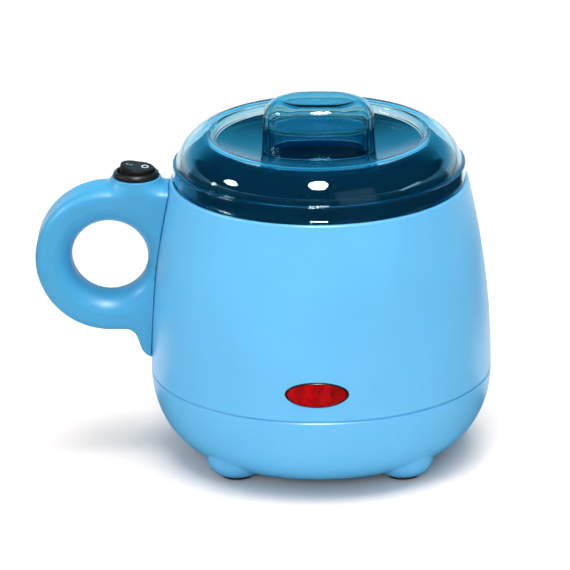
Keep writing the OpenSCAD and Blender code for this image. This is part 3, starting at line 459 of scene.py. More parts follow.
def fitted(form, p):
    """A form of the handle bored for the switch and cut to the barrel."""
    root = barrel_r(p[..., 2]) + ROOT_GAP - np.hypot(p[..., 0], p[..., 1])
    return round_max(np.maximum(form, -switch_bore(p)), root, ROOT_EDGE_R)


def handle_shell_form(p):
    """Handle without its rear cover."""
    rear = np.minimum(p[..., 1] - COVER_Y, SPLIT_Z - p[..., 2])
    return fitted(round_max(handle_form(p), rear, PART_EDGE_R), p)


def handle_cover_form(p):
    """Rear cover of the handle with its counterbored screw holes."""
    x, y, z = p[..., 0], p[..., 1], p[..., 2]
    front = round_max(COVER_Y + PART_GAP - y, z - SPLIT_Z + PART_GAP, 0.0)
    form = round_max(handle_form(p), front, PART_EDGE_R)
    for cx, cz in cover_screw_spots():
        sink = np.maximum(np.hypot(x - cx, z - cz) - COVER_SINK_R, HALF_T - COVER_SINK - y)
        form = np.maximum(form, -sink)
    return fitted(form, p)


def cover_screw_spots():
    """Places of the three cover screws, as X and Z."""
    reach = RING_R - COVER_SCREW_INSET
    spots = [(RING_X + reach * math.cos(a), RING_Z + reach * math.sin(a))
             for a in (math.radians(130), math.radians(240))]
    return spots + [(TAIL_X + 0.4, RING_Z - RING_R + 5.5)]


def surface_net(form, low, high, cell):
    """Points, quads and normals of the zero surface of a form inside a box."""
    axes = [np.arange(a, b + cell, cell) for a, b in zip(low, high)]
    grid = np.stack(np.meshgrid(*axes, indexing="ij"), -1)
    value = form(grid)
    inside = value < 0
    nx, ny, nz = (n - 1 for n in value.shape)
    total = np.zeros((nx, ny, nz, 3))
    hits = np.zeros((nx, ny, nz))
    corners = [(i, j, k) for i in (0, 1) for j in (0, 1) for k in (0, 1)]
    for a in corners:
        for b in corners:
            if sum(abs(p - q) for p, q in zip(a, b)) != 1 or a > b:
                continue
            va = value[a[0]:a[0] + nx, a[1]:a[1] + ny, a[2]:a[2] + nz]
            vb = value[b[0]:b[0] + nx, b[1]:b[1] + ny, b[2]:b[2] + nz]
            cross = (va < 0) != (vb < 0)
            t = np.where(cross, va / np.where(va == vb, 1, va - vb), 0)
            spot = np.array(a) + t[..., None] * (np.array(b) - np.array(a))
            total += np.where(cross[..., None], spot, 0)
            hits += cross
    used = hits > 0
    index = np.full(hits.shape, -1)
    index[used] = np.arange(used.sum())
    base = np.stack(np.nonzero(used), 1)
    points = np.array(low) + cell * (base + total[used] / hits[used][:, None])
    faces = []
    for axis in range(3):
        b_axis, c_axis = (axis + 1) % 3, (axis + 2) % 3
        one = [slice(None)] * 3
        two = [slice(None)] * 3
        one[axis], two[axis] = slice(0, -1), slice(1, None)
        change = inside[tuple(one)] != inside[tuple(two)]
        place = np.stack(np.nonzero(change), 1)
        limit = np.array(hits.shape)
        ok = (place[:, b_axis] > 0) & (place[:, c_axis] > 0)
        ok &= (place[:, b_axis] < limit[b_axis]) & (place[:, c_axis] < limit[c_axis])
        place = place[ok]
        ring = []
        for db, dc in ((0, 0), (1, 0), (1, 1), (0, 1)):
            shifted = place.copy()
            shifted[:, b_axis] -= db
            shifted[:, c_axis] -= dc
            ring.append(index[tuple(shifted.T)])
        quad = np.stack(ring, 1)
        flip = ~inside[tuple(place.T)]
        quad[flip] = quad[flip][:, ::-1]
        faces.append(quad)
    faces = np.concatenate(faces)
    for _ in range(4):
        gradient = slope_of(form, points)
        size = np.maximum((gradient ** 2).sum(1), 0.25)
        step = (form(points) / size)[:, None] * gradient
        points = points - np.clip(step, -cell / 3, cell / 3)
    gradient = slope_of(form, points)
    normals = gradient / np.maximum(np.linalg.norm(gradient, axis=1), 1e-9)[:, None]
    return points, faces, normals


def slope_of(form, points):
    """Gradient of a form at points, by central differences."""
    step = 0.02
    out = np.zeros_like(points)
    for k in range(3):
        d = np.zeros(3)
        d[k] = step
        out[:, k] = (form(points + d) - form(points - d)) / (2 * step)
    return out


# Materials

NOISE_LOW = 0.35
NOISE_HIGH = 0.65


def material(name, colour, roughness, metallic=0.0, ior=1.5):
    """Principled material with its shader and node tree."""
    mat = bpy.data.materials.new(name)
    mat.use_nodes = True
    shader = mat.node_tree.nodes["Principled BSDF"]
    shader.inputs["Base Color"].default_value = (*colour, 1)
    shader.inputs["Roughness"].default_value = roughness
    shader.inputs["Metallic"].default_value = metallic
    shader.inputs["IOR"].default_value = ior
    return mat, shader


def noise(tree, scale, detail=3.0):
    """Noise in the object's own coordinates."""
    place = tree.nodes.new("ShaderNodeTexCoord")
    node = tree.nodes.new("ShaderNodeTexNoise")
    node.inputs["Scale"].default_value = scale
    node.inputs["Detail"].default_value = detail
    tree.links.new(place.outputs["Object"], node.inputs["Vector"])
    return node


def vary_roughness(mat, shader, low, high, scale):
    """Roughness that wanders between two values."""
    tree = mat.node_tree
    source = noise(tree, scale)
    remap = tree.nodes.new("ShaderNodeMapRange")
    remap.inputs["From Min"].default_value = NOISE_LOW
    remap.inputs["From Max"].default_value = NOISE_HIGH
    remap.inputs["To Min"].default_value = low
    remap.inputs["To Max"].default_value = high
    tree.links.new(source.outputs["Fac"], remap.inputs["Value"])
    tree.links.new(remap.outputs["Result"], shader.inputs["Roughness"])


def vary_colour(mat, shader, first, second, scale):
    """Colour that wanders between two near tones."""
    tree = mat.node_tree
    source = noise(tree, scale)
    ramp = tree.nodes.new("ShaderNodeValToRGB")
    ramp.color_ramp.elements[0].position = NOISE_LOW
    ramp.color_ramp.elements[0].color = (*first, 1)
    ramp.color_ramp.elements[1].position = NOISE_HIGH
    ramp.color_ramp.elements[1].color = (*second, 1)
    tree.links.new(source.outputs["Fac"], ramp.inputs["Fac"])
    tree.links.new(ramp.outputs["Color"], shader.inputs["Base Color"])


def grain(mat, shader, scale, strength, distance=0.0002, detail=2.0):
    """Fine bump of a moulded or brushed surface."""
    tree = mat.node_tree
    source = noise(tree, scale, detail)
    bump = tree.nodes.new("ShaderNodeBump")
    bump.inputs["Strength"].default_value = strength
    bump.inputs["Distance"].default_value = distance
    tree.links.new(source.outputs["Fac"], bump.inputs["Height"])
    tree.links.new(bump.outputs["Normal"], shader.inputs["Normal"])


def plastic(name, colour, roughness, spread=0.05, bump=0.03, scale=900, gloss=0.5):
    """Moulded plastic: near-even colour, wandering gloss and a faint texture."""
    mat, shader = material(name, colour, roughness)
    shader.inputs["Specular IOR Level"].default_value = gloss
    near = tuple(min(1.0, c * 1.03) for c in colour)
    far = tuple(c * 0.97 for c in colour)
    vary_colour(mat, shader, far, near, 22)
    vary_roughness(mat, shader, roughness - spread / 2, roughness + spread / 2, 60)
    grain(mat, shader, scale, bump)
    return mat


def metal(name, colour, roughness):
    """Brushed or turned metal."""
    mat, shader = material(name, colour, roughness, metallic=1.0)
    vary_roughness(mat, shader, roughness - 0.05, roughness + 0.08, 300)
    grain(mat, shader, 1500, 0.1, 0.0001)
    return mat


def clear_plastic(name, tint, density, haze=0.0, haze_colour=(0.01, 0.42, 0.95)):
    """See-through tinted plastic whose colour deepens with its thickness, with a little haze."""
    mat, shader = material(name, (1, 1, 1), 0.0, ior=1.49)
    shader.inputs["Transmission Weight"].default_value = 1.0
    tree = mat.node_tree
    absorb = tree.nodes.new("ShaderNodeVolumeAbsorption")
    absorb.inputs["Color"].default_value = (*tint, 1)
    absorb.inputs["Density"].default_value = density
    output = tree.nodes["Material Output"]
    tree.links.new(absorb.outputs["Volume"], output.inputs["Volume"])
    grain(mat, shader, 120, 0.02, 0.0002, 1.0)
    if haze:
        cloud = tree.nodes.new("ShaderNodeBsdfDiffuse")
        cloud.inputs["Color"].default_value = (*haze_colour, 1)
        blend = tree.nodes.new("ShaderNodeMixShader")
        blend.inputs["Fac"].default_value = haze
        tree.links.new(shader.outputs["BSDF"], blend.inputs[1])
        tree.links.new(cloud.outputs["BSDF"], blend.inputs[2])
        tree.links.new(blend.outputs["Shader"], output.inputs["Surface"])
    return mat


BODY_BLUE = plastic("body_blue_plastic", (0.105, 0.440, 0.760), 0.34)
# The handle is the body's blue plastic with a darker base colour: painted shade for the handle's
# shaded faces.
HANDLE_SHADED_BLUE = plastic("handle_blue_painted_shade", (0.048, 0.312, 0.560), 0.38, gloss=0.35)
POT_BLACK = plastic("pot_coating", (0.004, 0.005, 0.007), 0.30, 0.06, scale=700, gloss=0.2)
COLLAR_BLACK = plastic("collar_black_plastic", (0.005, 0.006, 0.008), 0.4, gloss=0.1)
SWITCH_BLACK = plastic("switch_black_plastic", (0.010, 0.010, 0.011), 0.36, bump=0.08,
                       gloss=0.35)
ROCKER_BLACK = plastic("rocker_black_plastic", (0.012, 0.012, 0.013), 0.42, gloss=0.08)
MARK_WHITE = plastic("mark_white_paint", (0.72, 0.72, 0.72), 0.5)
RUBBER = plastic("foot_rubber", (0.020, 0.021, 0.024), 0.7, 0.1, bump=0.3, scale=600)
WHITE_PLASTIC = plastic("white_plastic", (0.80, 0.78, 0.72), 0.4)
CERAMIC = plastic("white_ceramic", (0.78, 0.75, 0.68), 0.6, bump=0.15, scale=500)
LID_TINT = clear_plastic("lid_tinted_plastic", (0.08, 0.75, 0.94), 170.0, 0.03)
KNOB_TINT = clear_plastic("knob_tinted_plastic", (0.01, 0.62, 0.745), 450.0, 0.010)
LENS_RED, lens_shader = material("red_lens_plastic", (0.36, 0.001, 0.003), 0.1)
vary_colour(LENS_RED, lens_shader, (0.19, 0.001, 0.002), (0.42, 0.001, 0.003), 330)
vary_roughness(LENS_RED, lens_shader, 0.08, 0.16, 300)
grain(LENS_RED, lens_shader, 350, 0.25)
# Painted shade: near-black red for the lens's outer rim, standing in for the shadow of the gap
# round the lens.
LENS_PAINTED_SHADE = plastic("red_lens_painted_shade", (0.030, 0.001, 0.002), 0.2)
# Painted highlight: the lid plastic with a strong bright cyan haze, for the lit edges of the boss
# and ridge.
LID_PAINTED_HIGHLIGHT = clear_plastic("lid_painted_highlight", (0.09, 0.75, 0.93), 170.0, 0.45,
                         (0.25, 0.85, 1.0))
STEEL = metal("steel", (0.62, 0.62, 0.64), 0.3)
ALUMINIUM = metal("cup_aluminium", (0.80, 0.81, 0.83), 0.35)
MICA = metal("mica_band", (0.42, 0.37, 0.30), 0.5)
BRASS = metal("brass", (0.80, 0.60, 0.26), 0.3)
NEON = clear_plastic("neon_glass", (1.0, 0.45, 0.30), 30.0)
FLOOR_WHITE = plastic("floor_white", (0.96, 0.87, 0.82), 0.7)

for node, mat in {
    "base_screws": STEEL, "collar_screws": STEEL, "heating_cup": ALUMINIUM, "band_heater": MICA,
    "band_screw": STEEL, "thermostat": CERAMIC, "sensor_bracket": STEEL, "bracket_screws": STEEL,
    "thermal_fuse": CERAMIC, "handle_screws": STEEL, "cover_screws": STEEL,
    "switch_terminals": BRASS, "neon_lamp": NEON, "lamp_holder": WHITE_PLASTIC,
    "lamp_screws": STEEL, "terminal_block": WHITE_PLASTIC, "block_screws": STEEL,
    "cord_clamp": WHITE_PLASTIC, "clamp_screws": STEEL,
}.items():
    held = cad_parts[node].data.materials
    held.clear()
    held.append(mat)


# Body shell

def body_profile():
    """Closed profile of the body shell, from the seam up the outside and down the inside."""
    rise = np.linspace(SEAM_Z + SEAM_GROOVE, RIM_Z - RIM_EDGE_R, 60)
    lap_r = float(barrel_r(SEAM_Z)) - SHELL_WALL / 2 - 0.1
    land_r = RIM_R - RIM_LAND
    shelf_r = POT_R + 2.0
    fall = np.linspace(SHELF_Z - SHELL_WALL, SEAM_Z - SEAM_LAP, 30)
    profile = [(float(barrel_r(SEAM_Z)) - SEAM_GROOVE, SEAM_Z)]
    profile += [(float(barrel_r(z)), float(z)) for z in rise]
    profile += arc(RIM_R - RIM_EDGE_R, RIM_Z - RIM_EDGE_R, RIM_EDGE_R, 10, 90)
    profile += [(land_r + 0.3, RIM_Z), (land_r, RIM_Z - 0.3), (land_r, SHELF_Z)]
    profile += [(shelf_r, SHELF_Z), (shelf_r, SHELF_Z - SHELL_WALL)]
    profile += [(float(barrel_r(z, SHELL_WALL)), float(z)) for z in fall]
    profile += [(lap_r, SEAM_Z - SEAM_LAP), (lap_r, SEAM_Z)]
    return profile


body_shell = turned("body_shell_skin", body_profile(), BODY_BLUE, "housing", "body_plastic", 256)
cut_with(body_shell, [
    cutter(*loft([upright_oval(LENS_L / 2 + LENS_GAP, LENS_H / 2 + LENS_GAP, y, LENS_Z, LENS_STEPS)
                  for y in (-BODY_R - 3, -BODY_R + 9)])),
    cutter(*loft([upright_oval(GLAND_HOLE_R, GLAND_HOLE_R, y, GLAND_Z, 48)
                  for y in (BODY_R - 8, BODY_R + 3)])),
])
sharp_by_angle(body_shell, 35)
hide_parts("body_shell")


# Base shell with its foot stubs and vents

def base_profile():
    """Closed profile of the base shell."""
    def side(inset, steps):
        t = np.radians(np.linspace(0, 90, steps + 1))
        return [(BASE_FLAT_R + (BODY_R - BASE_FLAT_R - inset) * math.cos(a),
                 SEAM_Z - (SEAM_Z - UNDERSIDE_Z - inset) * math.sin(a)) for a in t]
    outer = side(0.0, 40)
    inner = side(BASE_WALL, 24)
    start = [(BODY_R - SEAM_LIP, SEAM_Z), (BODY_R - 0.06, SEAM_Z - SEAM_LIP)]
    return [(0, UNDERSIDE_Z + BASE_WALL)] + inner[::-1] + start + outer[1:] + [(0, UNDERSIDE_Z)]


def foot_stub_profile():
    """Bun-shaped stub that grows out of the bowl."""
    bun = [(STUB_R - 0.3 + (STUB_FLARE + 0.3) * math.sin(t),
            STUB_Z + STUB_FLARE_H * (1 - math.cos(t)) ** 0.8)
           for t in np.radians(np.linspace(0, 90, 14))]
    top = STUB_Z + STUB_H
    return [(0, STUB_Z), (PAD_R + 0.1, STUB_Z)] + bun + [(bun[-1][0], top), (0, top)]


base_shell = turned("base_shell_skin", base_profile(), BODY_BLUE, "housing", "body_plastic", 256)
points, faces = lathe(foot_stub_profile(), 64)
cut_with(base_shell, [cutter(points + np.array([sx * FOOT_POS, sy * FOOT_POS, 0]), faces)
                      for sx in (-1, 1) for sy in (-1, 1)], "UNION")
tools = []
for i in range(VENT_COUNT):
    a = 2 * math.pi * (i + 0.5) / VENT_COUNT
    t = full_turn(32)
    half = np.where(np.cos(t) > 0, 1, -1) * (VENT_LEN - VENT_W) / 2
    u = VENT_R + VENT_LEN / 2 + half + VENT_W / 2 * np.cos(t)
    v = VENT_W / 2 * np.sin(t)
    loops = [np.stack([u * math.cos(a) - v * math.sin(a), u * math.sin(a) + v * math.cos(a),
                       np.full(32, z)], 1) for z in (UNDERSIDE_Z - 1, UNDERSIDE_Z + BASE_WALL + 1)]
    tools.append(cutter(*loft(loops)))
cut_with(base_shell, tools)
sharp_by_angle(base_shell, 35)
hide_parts("base_shell")

PAD_PROFILE = [(0, 0.3), (PAD_R * 0.35, 0.3), (PAD_R * 0.35 + 0.3, 0.0), (PAD_R - 0.6, 0.0),
               (PAD_R - 0.2, 0.15), (PAD_R, 0.6), (PAD_R, PAD_T), (0, PAD_T)]
for side, sx in (("left", -1), ("right", 1)):
    for end, sy in (("front", -1), ("rear", 1)):
        pad = turned(f"foot_pad_{end}_{side}", PAD_PROFILE, RUBBER, "housing", "foot_rubber", 64,
                     (sx * FOOT_POS, sy * FOOT_POS, 0))
        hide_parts(f"foot_{end}_{side}")


# Collar and pot

COLLAR_PROFILE = round_corners([
    (COLLAR_IN_R, CUP_TOP_Z + 1), (COLLAR_IN_R, CUP_TOP_Z), (COLLAR_R, CUP_TOP_Z),
    (COLLAR_R, COLLAR_Z), (COLLAR_IN_R, COLLAR_Z), (COLLAR_IN_R, CUP_TOP_Z + 1)], 0.7)
collar = turned("pot_collar_skin", COLLAR_PROFILE[:-1], COLLAR_BLACK, "housing", "black_plastic")
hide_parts("pot_collar")


def pot_profile():
    """Closed profile of the pot with its flange and rolled rim."""
    in_r = POT_R - POT_WALL
    corner_x, corner_z = POT_BOTTOM_R - POT_CORNER_R, POT_BOTTOM_Z + POT_CORNER_R
    low = FLANGE_Z - FLANGE_T
    profile = [(0, POT_BOTTOM_Z)] + arc(corner_x, corner_z, POT_CORNER_R, -90, 0, 12)
    profile += [(POT_R, low - POT_FILLET_R)]
    profile += arc(POT_R + POT_FILLET_R, low - POT_FILLET_R, POT_FILLET_R, 180, 90, 6)[1:]
    profile += [(FLANGE_R - 0.3, low), (FLANGE_R, low + 0.3)]
    roll_r = FLANGE_T / 2
    profile += arc(FLANGE_R - roll_r, FLANGE_Z + ROLL_H - roll_r, roll_r, 0, 180, 12)
    profile += [(FLANGE_R - FLANGE_T - 0.5, FLANGE_Z + 0.2)]
    profile += arc(in_r + 2.0, FLANGE_Z - 2.0, 2.0, 90, 180, 10)
    profile += [(POT_BOTTOM_R - POT_WALL, corner_z)]
    profile += arc(corner_x, corner_z, POT_CORNER_R - POT_WALL, 0, -90, 12)[1:]
    return profile + [(0, POT_BOTTOM_Z + POT_WALL)]


pot = turned("inner_pot_skin", pot_profile(), POT_BLACK, "pot", "pot_coating")
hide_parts("inner_pot")


# Lid: one closed shell of loops from the middle of the boss, over the dome, and back inside

def rounded_box_loop(length, width, corner, z):
    """Rounded rectangle with slightly bulged long sides, its points in a circle's directions."""
    corner = min(corner, length / 2 - 0.01, width / 2 - 0.01)
    t = full_turn(SEGMENTS)
    a, b = length / 2 - corner, width / 2 - corner
    lo = np.zeros(SEGMENTS)
    hi = np.full(SEGMENTS, length + width)
    c, s = np.abs(np.cos(t)), np.abs(np.sin(t))
    for _ in range(40):
        mid = (lo + hi) / 2
        away = np.hypot(np.maximum(mid * c - a, 0), np.maximum(mid * s - b, 0)) - corner
        lo = np.where(away < 0, mid, lo)
        hi = np.where(away < 0, hi, mid)
    x, y = hi * np.cos(t), hi * np.sin(t)
    return np.stack([x, y * (1 - KNOB_BULGE * x ** 2), np.full(SEGMENTS, z)], 1)


def blend_loops(first, second, steps):
    """Loops between two loops, ends left out."""
    return [first + (second - first) * k / (steps + 1) for k in range(1, steps + 1)]


def boss_loops(length, width, corner, z0, z1, edge):
    """Loops of the boss from its middle on top, over its rounded edge and down to the recess."""
    loops = [rounded_box_loop(length - 2 * edge - 2 * k, width - 2 * edge - 2 * k, corner, z1)
             for k in (6, 4, 2)]
    for t in np.radians(np.linspace(90, 0, 7)):
        back = edge * (1 - math.cos(t))
        loops.append(rounded_box_loop(length - 2 * back, width - 2 * back, corner,
                                      z1 - edge + edge * math.sin(t)))
    loops.append(rounded_box_loop(length, width, corner, (z0 + z1) / 2))
    loops.append(rounded_box_loop(length, width, corner, z0 + 1.2))
    for t in np.radians([20, 45, 70, 90]):
        out = BOSS_FOOT_R * (1 - math.cos(t))
        loops.append(rounded_box_loop(length + 2 * out, width + 2 * out, corner + out,
                                      z0 + BOSS_FOOT_R - BOSS_FOOT_R * math.sin(t)))
    return loops


def dome(inset, start, end, steps):
    """Points of the elliptical dome of the lid at an inset."""
    a, b = LID_R - 0.3 - CREST_R, CREST_Z - DOME_Z
    return [(CREST_R + (a - inset) * math.cos(t), DOME_Z + (b - inset) * math.sin(t))
            for t in np.radians(np.linspace(start, end, steps + 1))]


def dish(drop=0.0):
    """Points of the shallow dish of the recess, from its flat middle to its fillet."""
    rows = []
    for r in np.linspace(DISH_R, RECESS_R - DISH_FILLET_R + 0.3, 15):
        share = (r - DISH_R) / (RECESS_R - DISH_R)
        rows.append((float(r), RECESS_Z + DISH_H * float(share) ** 1.7 - drop))
    return rows


def lid_outer():
    """Outside of the lid from the dish of the recess over its ridge to the foot of the skirt."""
    a, b = LID_R - 0.3 - CREST_R, CREST_Z - DOME_Z
    join_t = math.degrees(math.acos((BROW_X + BROW_R * math.cos(math.radians(66)) - CREST_R) / a))
    step_t = math.degrees(math.asin((LID_STEP_Z - DOME_Z) / b))
    fillet_z = RECESS_Z + DISH_H + DISH_FILLET_R
    turn = math.radians(125)
    ridge_x = BROW_X + (BROW_R - RIDGE_R) * math.cos(turn)
    ridge_z = BROW_Z + (BROW_R - RIDGE_R) * math.sin(turn)
    profile = dish()
    profile += arc(RECESS_R - DISH_FILLET_R, fillet_z, DISH_FILLET_R, -66, 0, 6)
    profile += arc(ridge_x, ridge_z, RIDGE_R, 180, 125, 8)
    profile += arc(BROW_X, BROW_Z, BROW_R, 119, 66, 14)
    profile += dome(0, join_t - 2, step_t, 40)
    lip_r = LID_R + LIP_W
    profile += [(LID_R - 0.35, LID_STEP_Z - 0.1), (LID_R - 0.1, LID_STEP_Z - 0.3),
                (LID_R, LID_STEP_Z - 0.6), (LID_R, RIM_Z + 1.5), (lip_r - 0.1, RIM_Z + 1.1),
                (lip_r, RIM_Z + 0.9), (lip_r, RIM_Z + 0.2), (lip_r - 0.15, RIM_Z + 0.05)]
    return profile, join_t, fillet_z


def lid_inner(join_t, fillet_z):
    """Inside of the lid from the foot of the skirt up and back to the middle."""
    in_r = LID_R - LID_WALL
    b = CREST_Z - DOME_Z
    step_t = math.degrees(math.asin((LID_STEP_Z - 0.3 - DOME_Z) / (b - LID_WALL)))
    profile = [(in_r + 0.15, RIM_Z + 0.05), (in_r, RIM_Z + 0.2), (in_r, LID_STEP_Z - 0.6)]
    profile += dome(LID_WALL, step_t, join_t - 2, 36)
    profile += arc(BROW_X, BROW_Z, BROW_R - LID_WALL, 66, 108, 8)
    profile += arc(RECESS_R - DISH_FILLET_R, fillet_z, DISH_FILLET_R + LID_WALL, 0, -66, 10)
    return profile + dish(LID_WALL)[::-1]


def lid_mesh():
    """Points and faces of the whole lid."""
    margin = KNOB_WALL + KNOB_DRAFT * BOSS_H / KNOB_H + MOVE_GAP
    length, width = KNOB_L - 2 * margin, KNOB_W - 2 * margin
    loops = boss_loops(length, width, KNOB_CORNER_R, RECESS_Z, RECESS_Z + BOSS_H, 1.0)
    outer, join_t, fillet_z = lid_outer()
    first = circle(outer[0][0], outer[0][1])
    loops += blend_loops(loops[-1], first, 8)
    inner = lid_inner(join_t, fillet_z)
    loops += [circle(r, z) for r, z in braced(outer + inner)]
    inside = boss_loops(length - 2 * BOSS_WALL, width - 2 * BOSS_WALL, KNOB_CORNER_R - BOSS_WALL,
                        RECESS_Z - LID_WALL, RECESS_Z + BOSS_H - LID_WALL, 0.6)[::-1]
    last = circle(inner[-1][0], inner[-1][1])
    loops += blend_loops(last, inside[0], 8)
    loops += inside
    return loft(loops)


def on_painted_highlight(c, n):
    """True on the boss's top edge and on the ridge round the recess, which get a painted highlight
    of bright cyan haze.
    """
    boss = c.z > RECESS_Z + BOSS_H - 1.3 and 0.1 < abs(n.z) < 0.99 and abs(c.x) < KNOB_L / 2
    ridge = abs(math.hypot(c.x, c.y) - RECESS_R) < 0.7 and c.z > BROW_Z + 3.6 and n.z > 0.2
    return boss or ridge


lid = outward(new_piece("lid_skin", *merged(*lid_mesh()), LID_TINT, "lid", "lid_plastic"))
# The boss's top edge and the ridge get the painted highlight.
paint_where(lid, LID_PAINTED_HIGHLIGHT, on_painted_highlight)
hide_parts("lid")


def knob_loops(inset, side_r):
    """Loops of the knob at an inset, from its foot to the middle of its top."""
    base_z = RECESS_Z + KNOB_SEAT_GAP
    top = RECESS_Z + KNOB_H - inset
    end_r = KNOB_END_R - inset
    heights = [base_z, base_z + 0.6, (base_z + top - end_r) / 2]
    heights += [top - end_r + end_r * math.sin(t) for t in np.radians(np.linspace(0, 90, 24))]
    loops = []
    for z in heights:
        lean = KNOB_DRAFT * (z - RECESS_Z) / KNOB_H
        end_cut = end_r - math.sqrt(max(end_r ** 2 - max(z - top + end_r, 0) ** 2, 0))
        side_cut = side_r - math.sqrt(max(side_r ** 2 - max(z - top + side_r, 0) ** 2, 0))
        half_l = KNOB_L / 2 - inset - lean - end_cut
        half_w = KNOB_W / 2 - inset - lean - side_cut
        loops.append(rounded_box_loop(2 * half_l, 2 * half_w, KNOB_CORNER_R - inset / 2, z))
    tip = loops[-1]
    middle = np.array([0, 0, tip[0][2]])
    loops += [middle + (tip - middle) * s for s in (0.8, 0.55, 0.3)]
    return loops


def knob_mesh():
    """Points and faces of the hollow knob, down its outside and up its inside."""
    outer = knob_loops(0.0, KNOB_SIDE_R)
    inner = knob_loops(KNOB_WALL, KNOB_INSIDE_R)
    return loft(outer[::-1] + inner)


knob = outward(new_piece("lid_knob_skin", *merged(*knob_mesh()), KNOB_TINT, "lid", "lid_plastic"))
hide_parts("lid_knob")


# Handle

def handle_piece(name, form):
    """Piece of the handle from its form."""
    low = (-HANDLE_REACH - 1, -HALF_T - 1, TAIL_Z - 1)
    high = (-BODY_R + 11, HALF_T + 1, SWITCH_Z + 1)
    points, faces, normals = surface_net(form, low, high, NET_CELL)
    # Handle pieces take the blue that is darkened as painted shade.
    return new_piece(name, points, faces, HANDLE_SHADED_BLUE, "housing", "handle_plastic", normals)


handle_shell = handle_piece("handle_shell_skin", handle_shell_form)
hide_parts("handle_shell")
handle_cover = handle_piece("handle_cover_skin", handle_cover_form)
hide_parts("handle_cover")


# Switch

SWITCH_PLACE = (-SWITCH_X, 0, SWITCH_Z)
WELL_R = ROCKER_R + 0.55
BEZEL_PROFILE = round_corners([
    (0, -4.0), (WELL_R, -4.0), (WELL_R, BEZEL_H - 0.5), (WELL_R + 0.4, BEZEL_H),
    (BEZEL_R - 1.1, BEZEL_H), (BEZEL_R - 0.25, BEZEL_H - 0.8), (BEZEL_R, BEZEL_H - 1.6),
    (BEZEL_R, 0.0), (SWITCH_BODY_R, 0.0), (SWITCH_BODY_R, -11.0), (0, -11.0)], 0.45, 5)
bezel = turned("switch_bezel_skin", BEZEL_PROFILE, SWITCH_BLACK, "housing", "switch_black", 96,
               SWITCH_PLACE)
sharp_by_angle(bezel, 50)
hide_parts("switch_housing")

ROCKER_TURN = np.array(Matrix.Rotation(math.radians(ROCKER_TILT), 3, "Y"))
ROCKER_PIVOT = np.array([-SWITCH_X, 0, SWITCH_Z + 0.2])


def rocker_top(x):
    """Height of the rocker's sloping faces above its pivot."""
    return ROCKER_DIP + (ROCKER_RISE - ROCKER_DIP) * np.abs(x) / ROCKER_R


def rocker_form(p):
    """Distance to the rocker in its own upright place, pivot at the origin."""
    x, y, z = p[..., 0], p[..., 1], p[..., 2]
    wall = np.hypot(x, y) - ROCKER_R
    top = (z - rocker_top(x)) / 1.006
    body = round_max(wall, top, ROCKER_EDGE_R)
    body = np.maximum(body, -ROCKER_FOOT - z)
    ball = np.sqrt(x * x + y * y + np.minimum(z, 1.9) ** 2) - WELL_R + 0.25
    return np.maximum(body, ball)


def tilted(points):
    """Turns the rocker's points to its rest tilt and puts them at the pivot."""
    return points @ ROCKER_TURN.T + ROCKER_PIVOT


points, faces, normals = surface_net(rocker_form, (-7.5, -7.5, -3), (7.5, 7.5, 5.5), 0.3)
rocker = new_piece("switch_rocker_skin", tilted(points), faces, ROCKER_BLACK, "rocker",
                   "rocker_black", normals @ ROCKER_TURN.T)
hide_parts("switch_rocker")


def mark(name, loops):
    """Painted sign on a face of the rocker."""
    points, faces = loft(loops, False, False)
    points[:, 2] += rocker_top(points[:, 0])
    return new_piece(name, tilted(points), faces, MARK_WHITE, "rocker", "rocker_black")


def stripe_loops(x0, x1, half_w):
    """Bar along X, as two rows of points."""
    x = np.linspace(x0, x1, 12)
    rows = []
    for y, z in ((-half_w, 0.0), (-half_w, MARK_T), (half_w, MARK_T), (half_w, 0.0)):
        rows.append(np.stack([x, np.full(12, y), np.full(12, z)], 1))
    return rows


def ring_loops(cx, r0, r1):
    """Flat ring round a point on the X axis."""
    t = full_turn(48)
    rows = []
    for r, z in ((r0, 0.0), (r0, MARK_T), (r1, MARK_T), (r1, 0.0), (r0, 0.0)):
        rows.append(np.stack([cx + r * np.cos(t), 1.25 * r * np.sin(t), np.full(48, z)], 1))
    return rows


mark("rocker_mark_on", stripe_loops(-4.4, -1.8, 0.4))
mark("rocker_mark_off", ring_loops(2.9, 0.95, 1.4))


# Lens

def lens_mesh():
    """Convex oval window that follows the barrel, with a rounded edge and a short straight side
    behind it.
    """
    loops = []
    rings = [(0.02, 0.0), (0.3, 0.0), (0.6, 0.0), (0.85, 0.02), (0.94, 0.08), (0.985, 0.2),
             (1.0, 0.45), (1.0, 2.4)]
    t = full_turn(LENS_STEPS)
    for share, sink in rings:
        x = LENS_L / 2 * share * np.cos(t)
        z = LENS_Z + LENS_H / 2 * share * np.sin(t)
        surface = np.sqrt((barrel_r(z) + LENS_BULGE) ** 2 - x ** 2)
        loops.append(np.stack([x, -(surface - sink), z], 1))
    x = (LENS_L / 2 - 0.2) * np.cos(t)
    z = LENS_Z + (LENS_H / 2 - 0.2) * np.sin(t)
    loops.append(np.stack([x, -(np.sqrt((barrel_r(z) + LENS_BULGE) ** 2 - x ** 2) - 3.0), z], 1))
    return loft(loops)


def on_lens_painted_shade(c, _):
    """True on the outer edge of the lens, which is painted dark as the shade of the gap round it.
    """
    return math.hypot(2 * c.x / LENS_L, 2 * (c.z - LENS_Z) / LENS_H) > 0.925


lens = outward(new_piece("indicator_lens_skin", *merged(*lens_mesh()), LENS_RED, "housing",
                         "red_lens"))
# The lens's outer rim gets the painted shade.
paint_where(lens, LENS_PAINTED_SHADE, on_lens_painted_shade)
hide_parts("indicator_lens")


# Cord gland

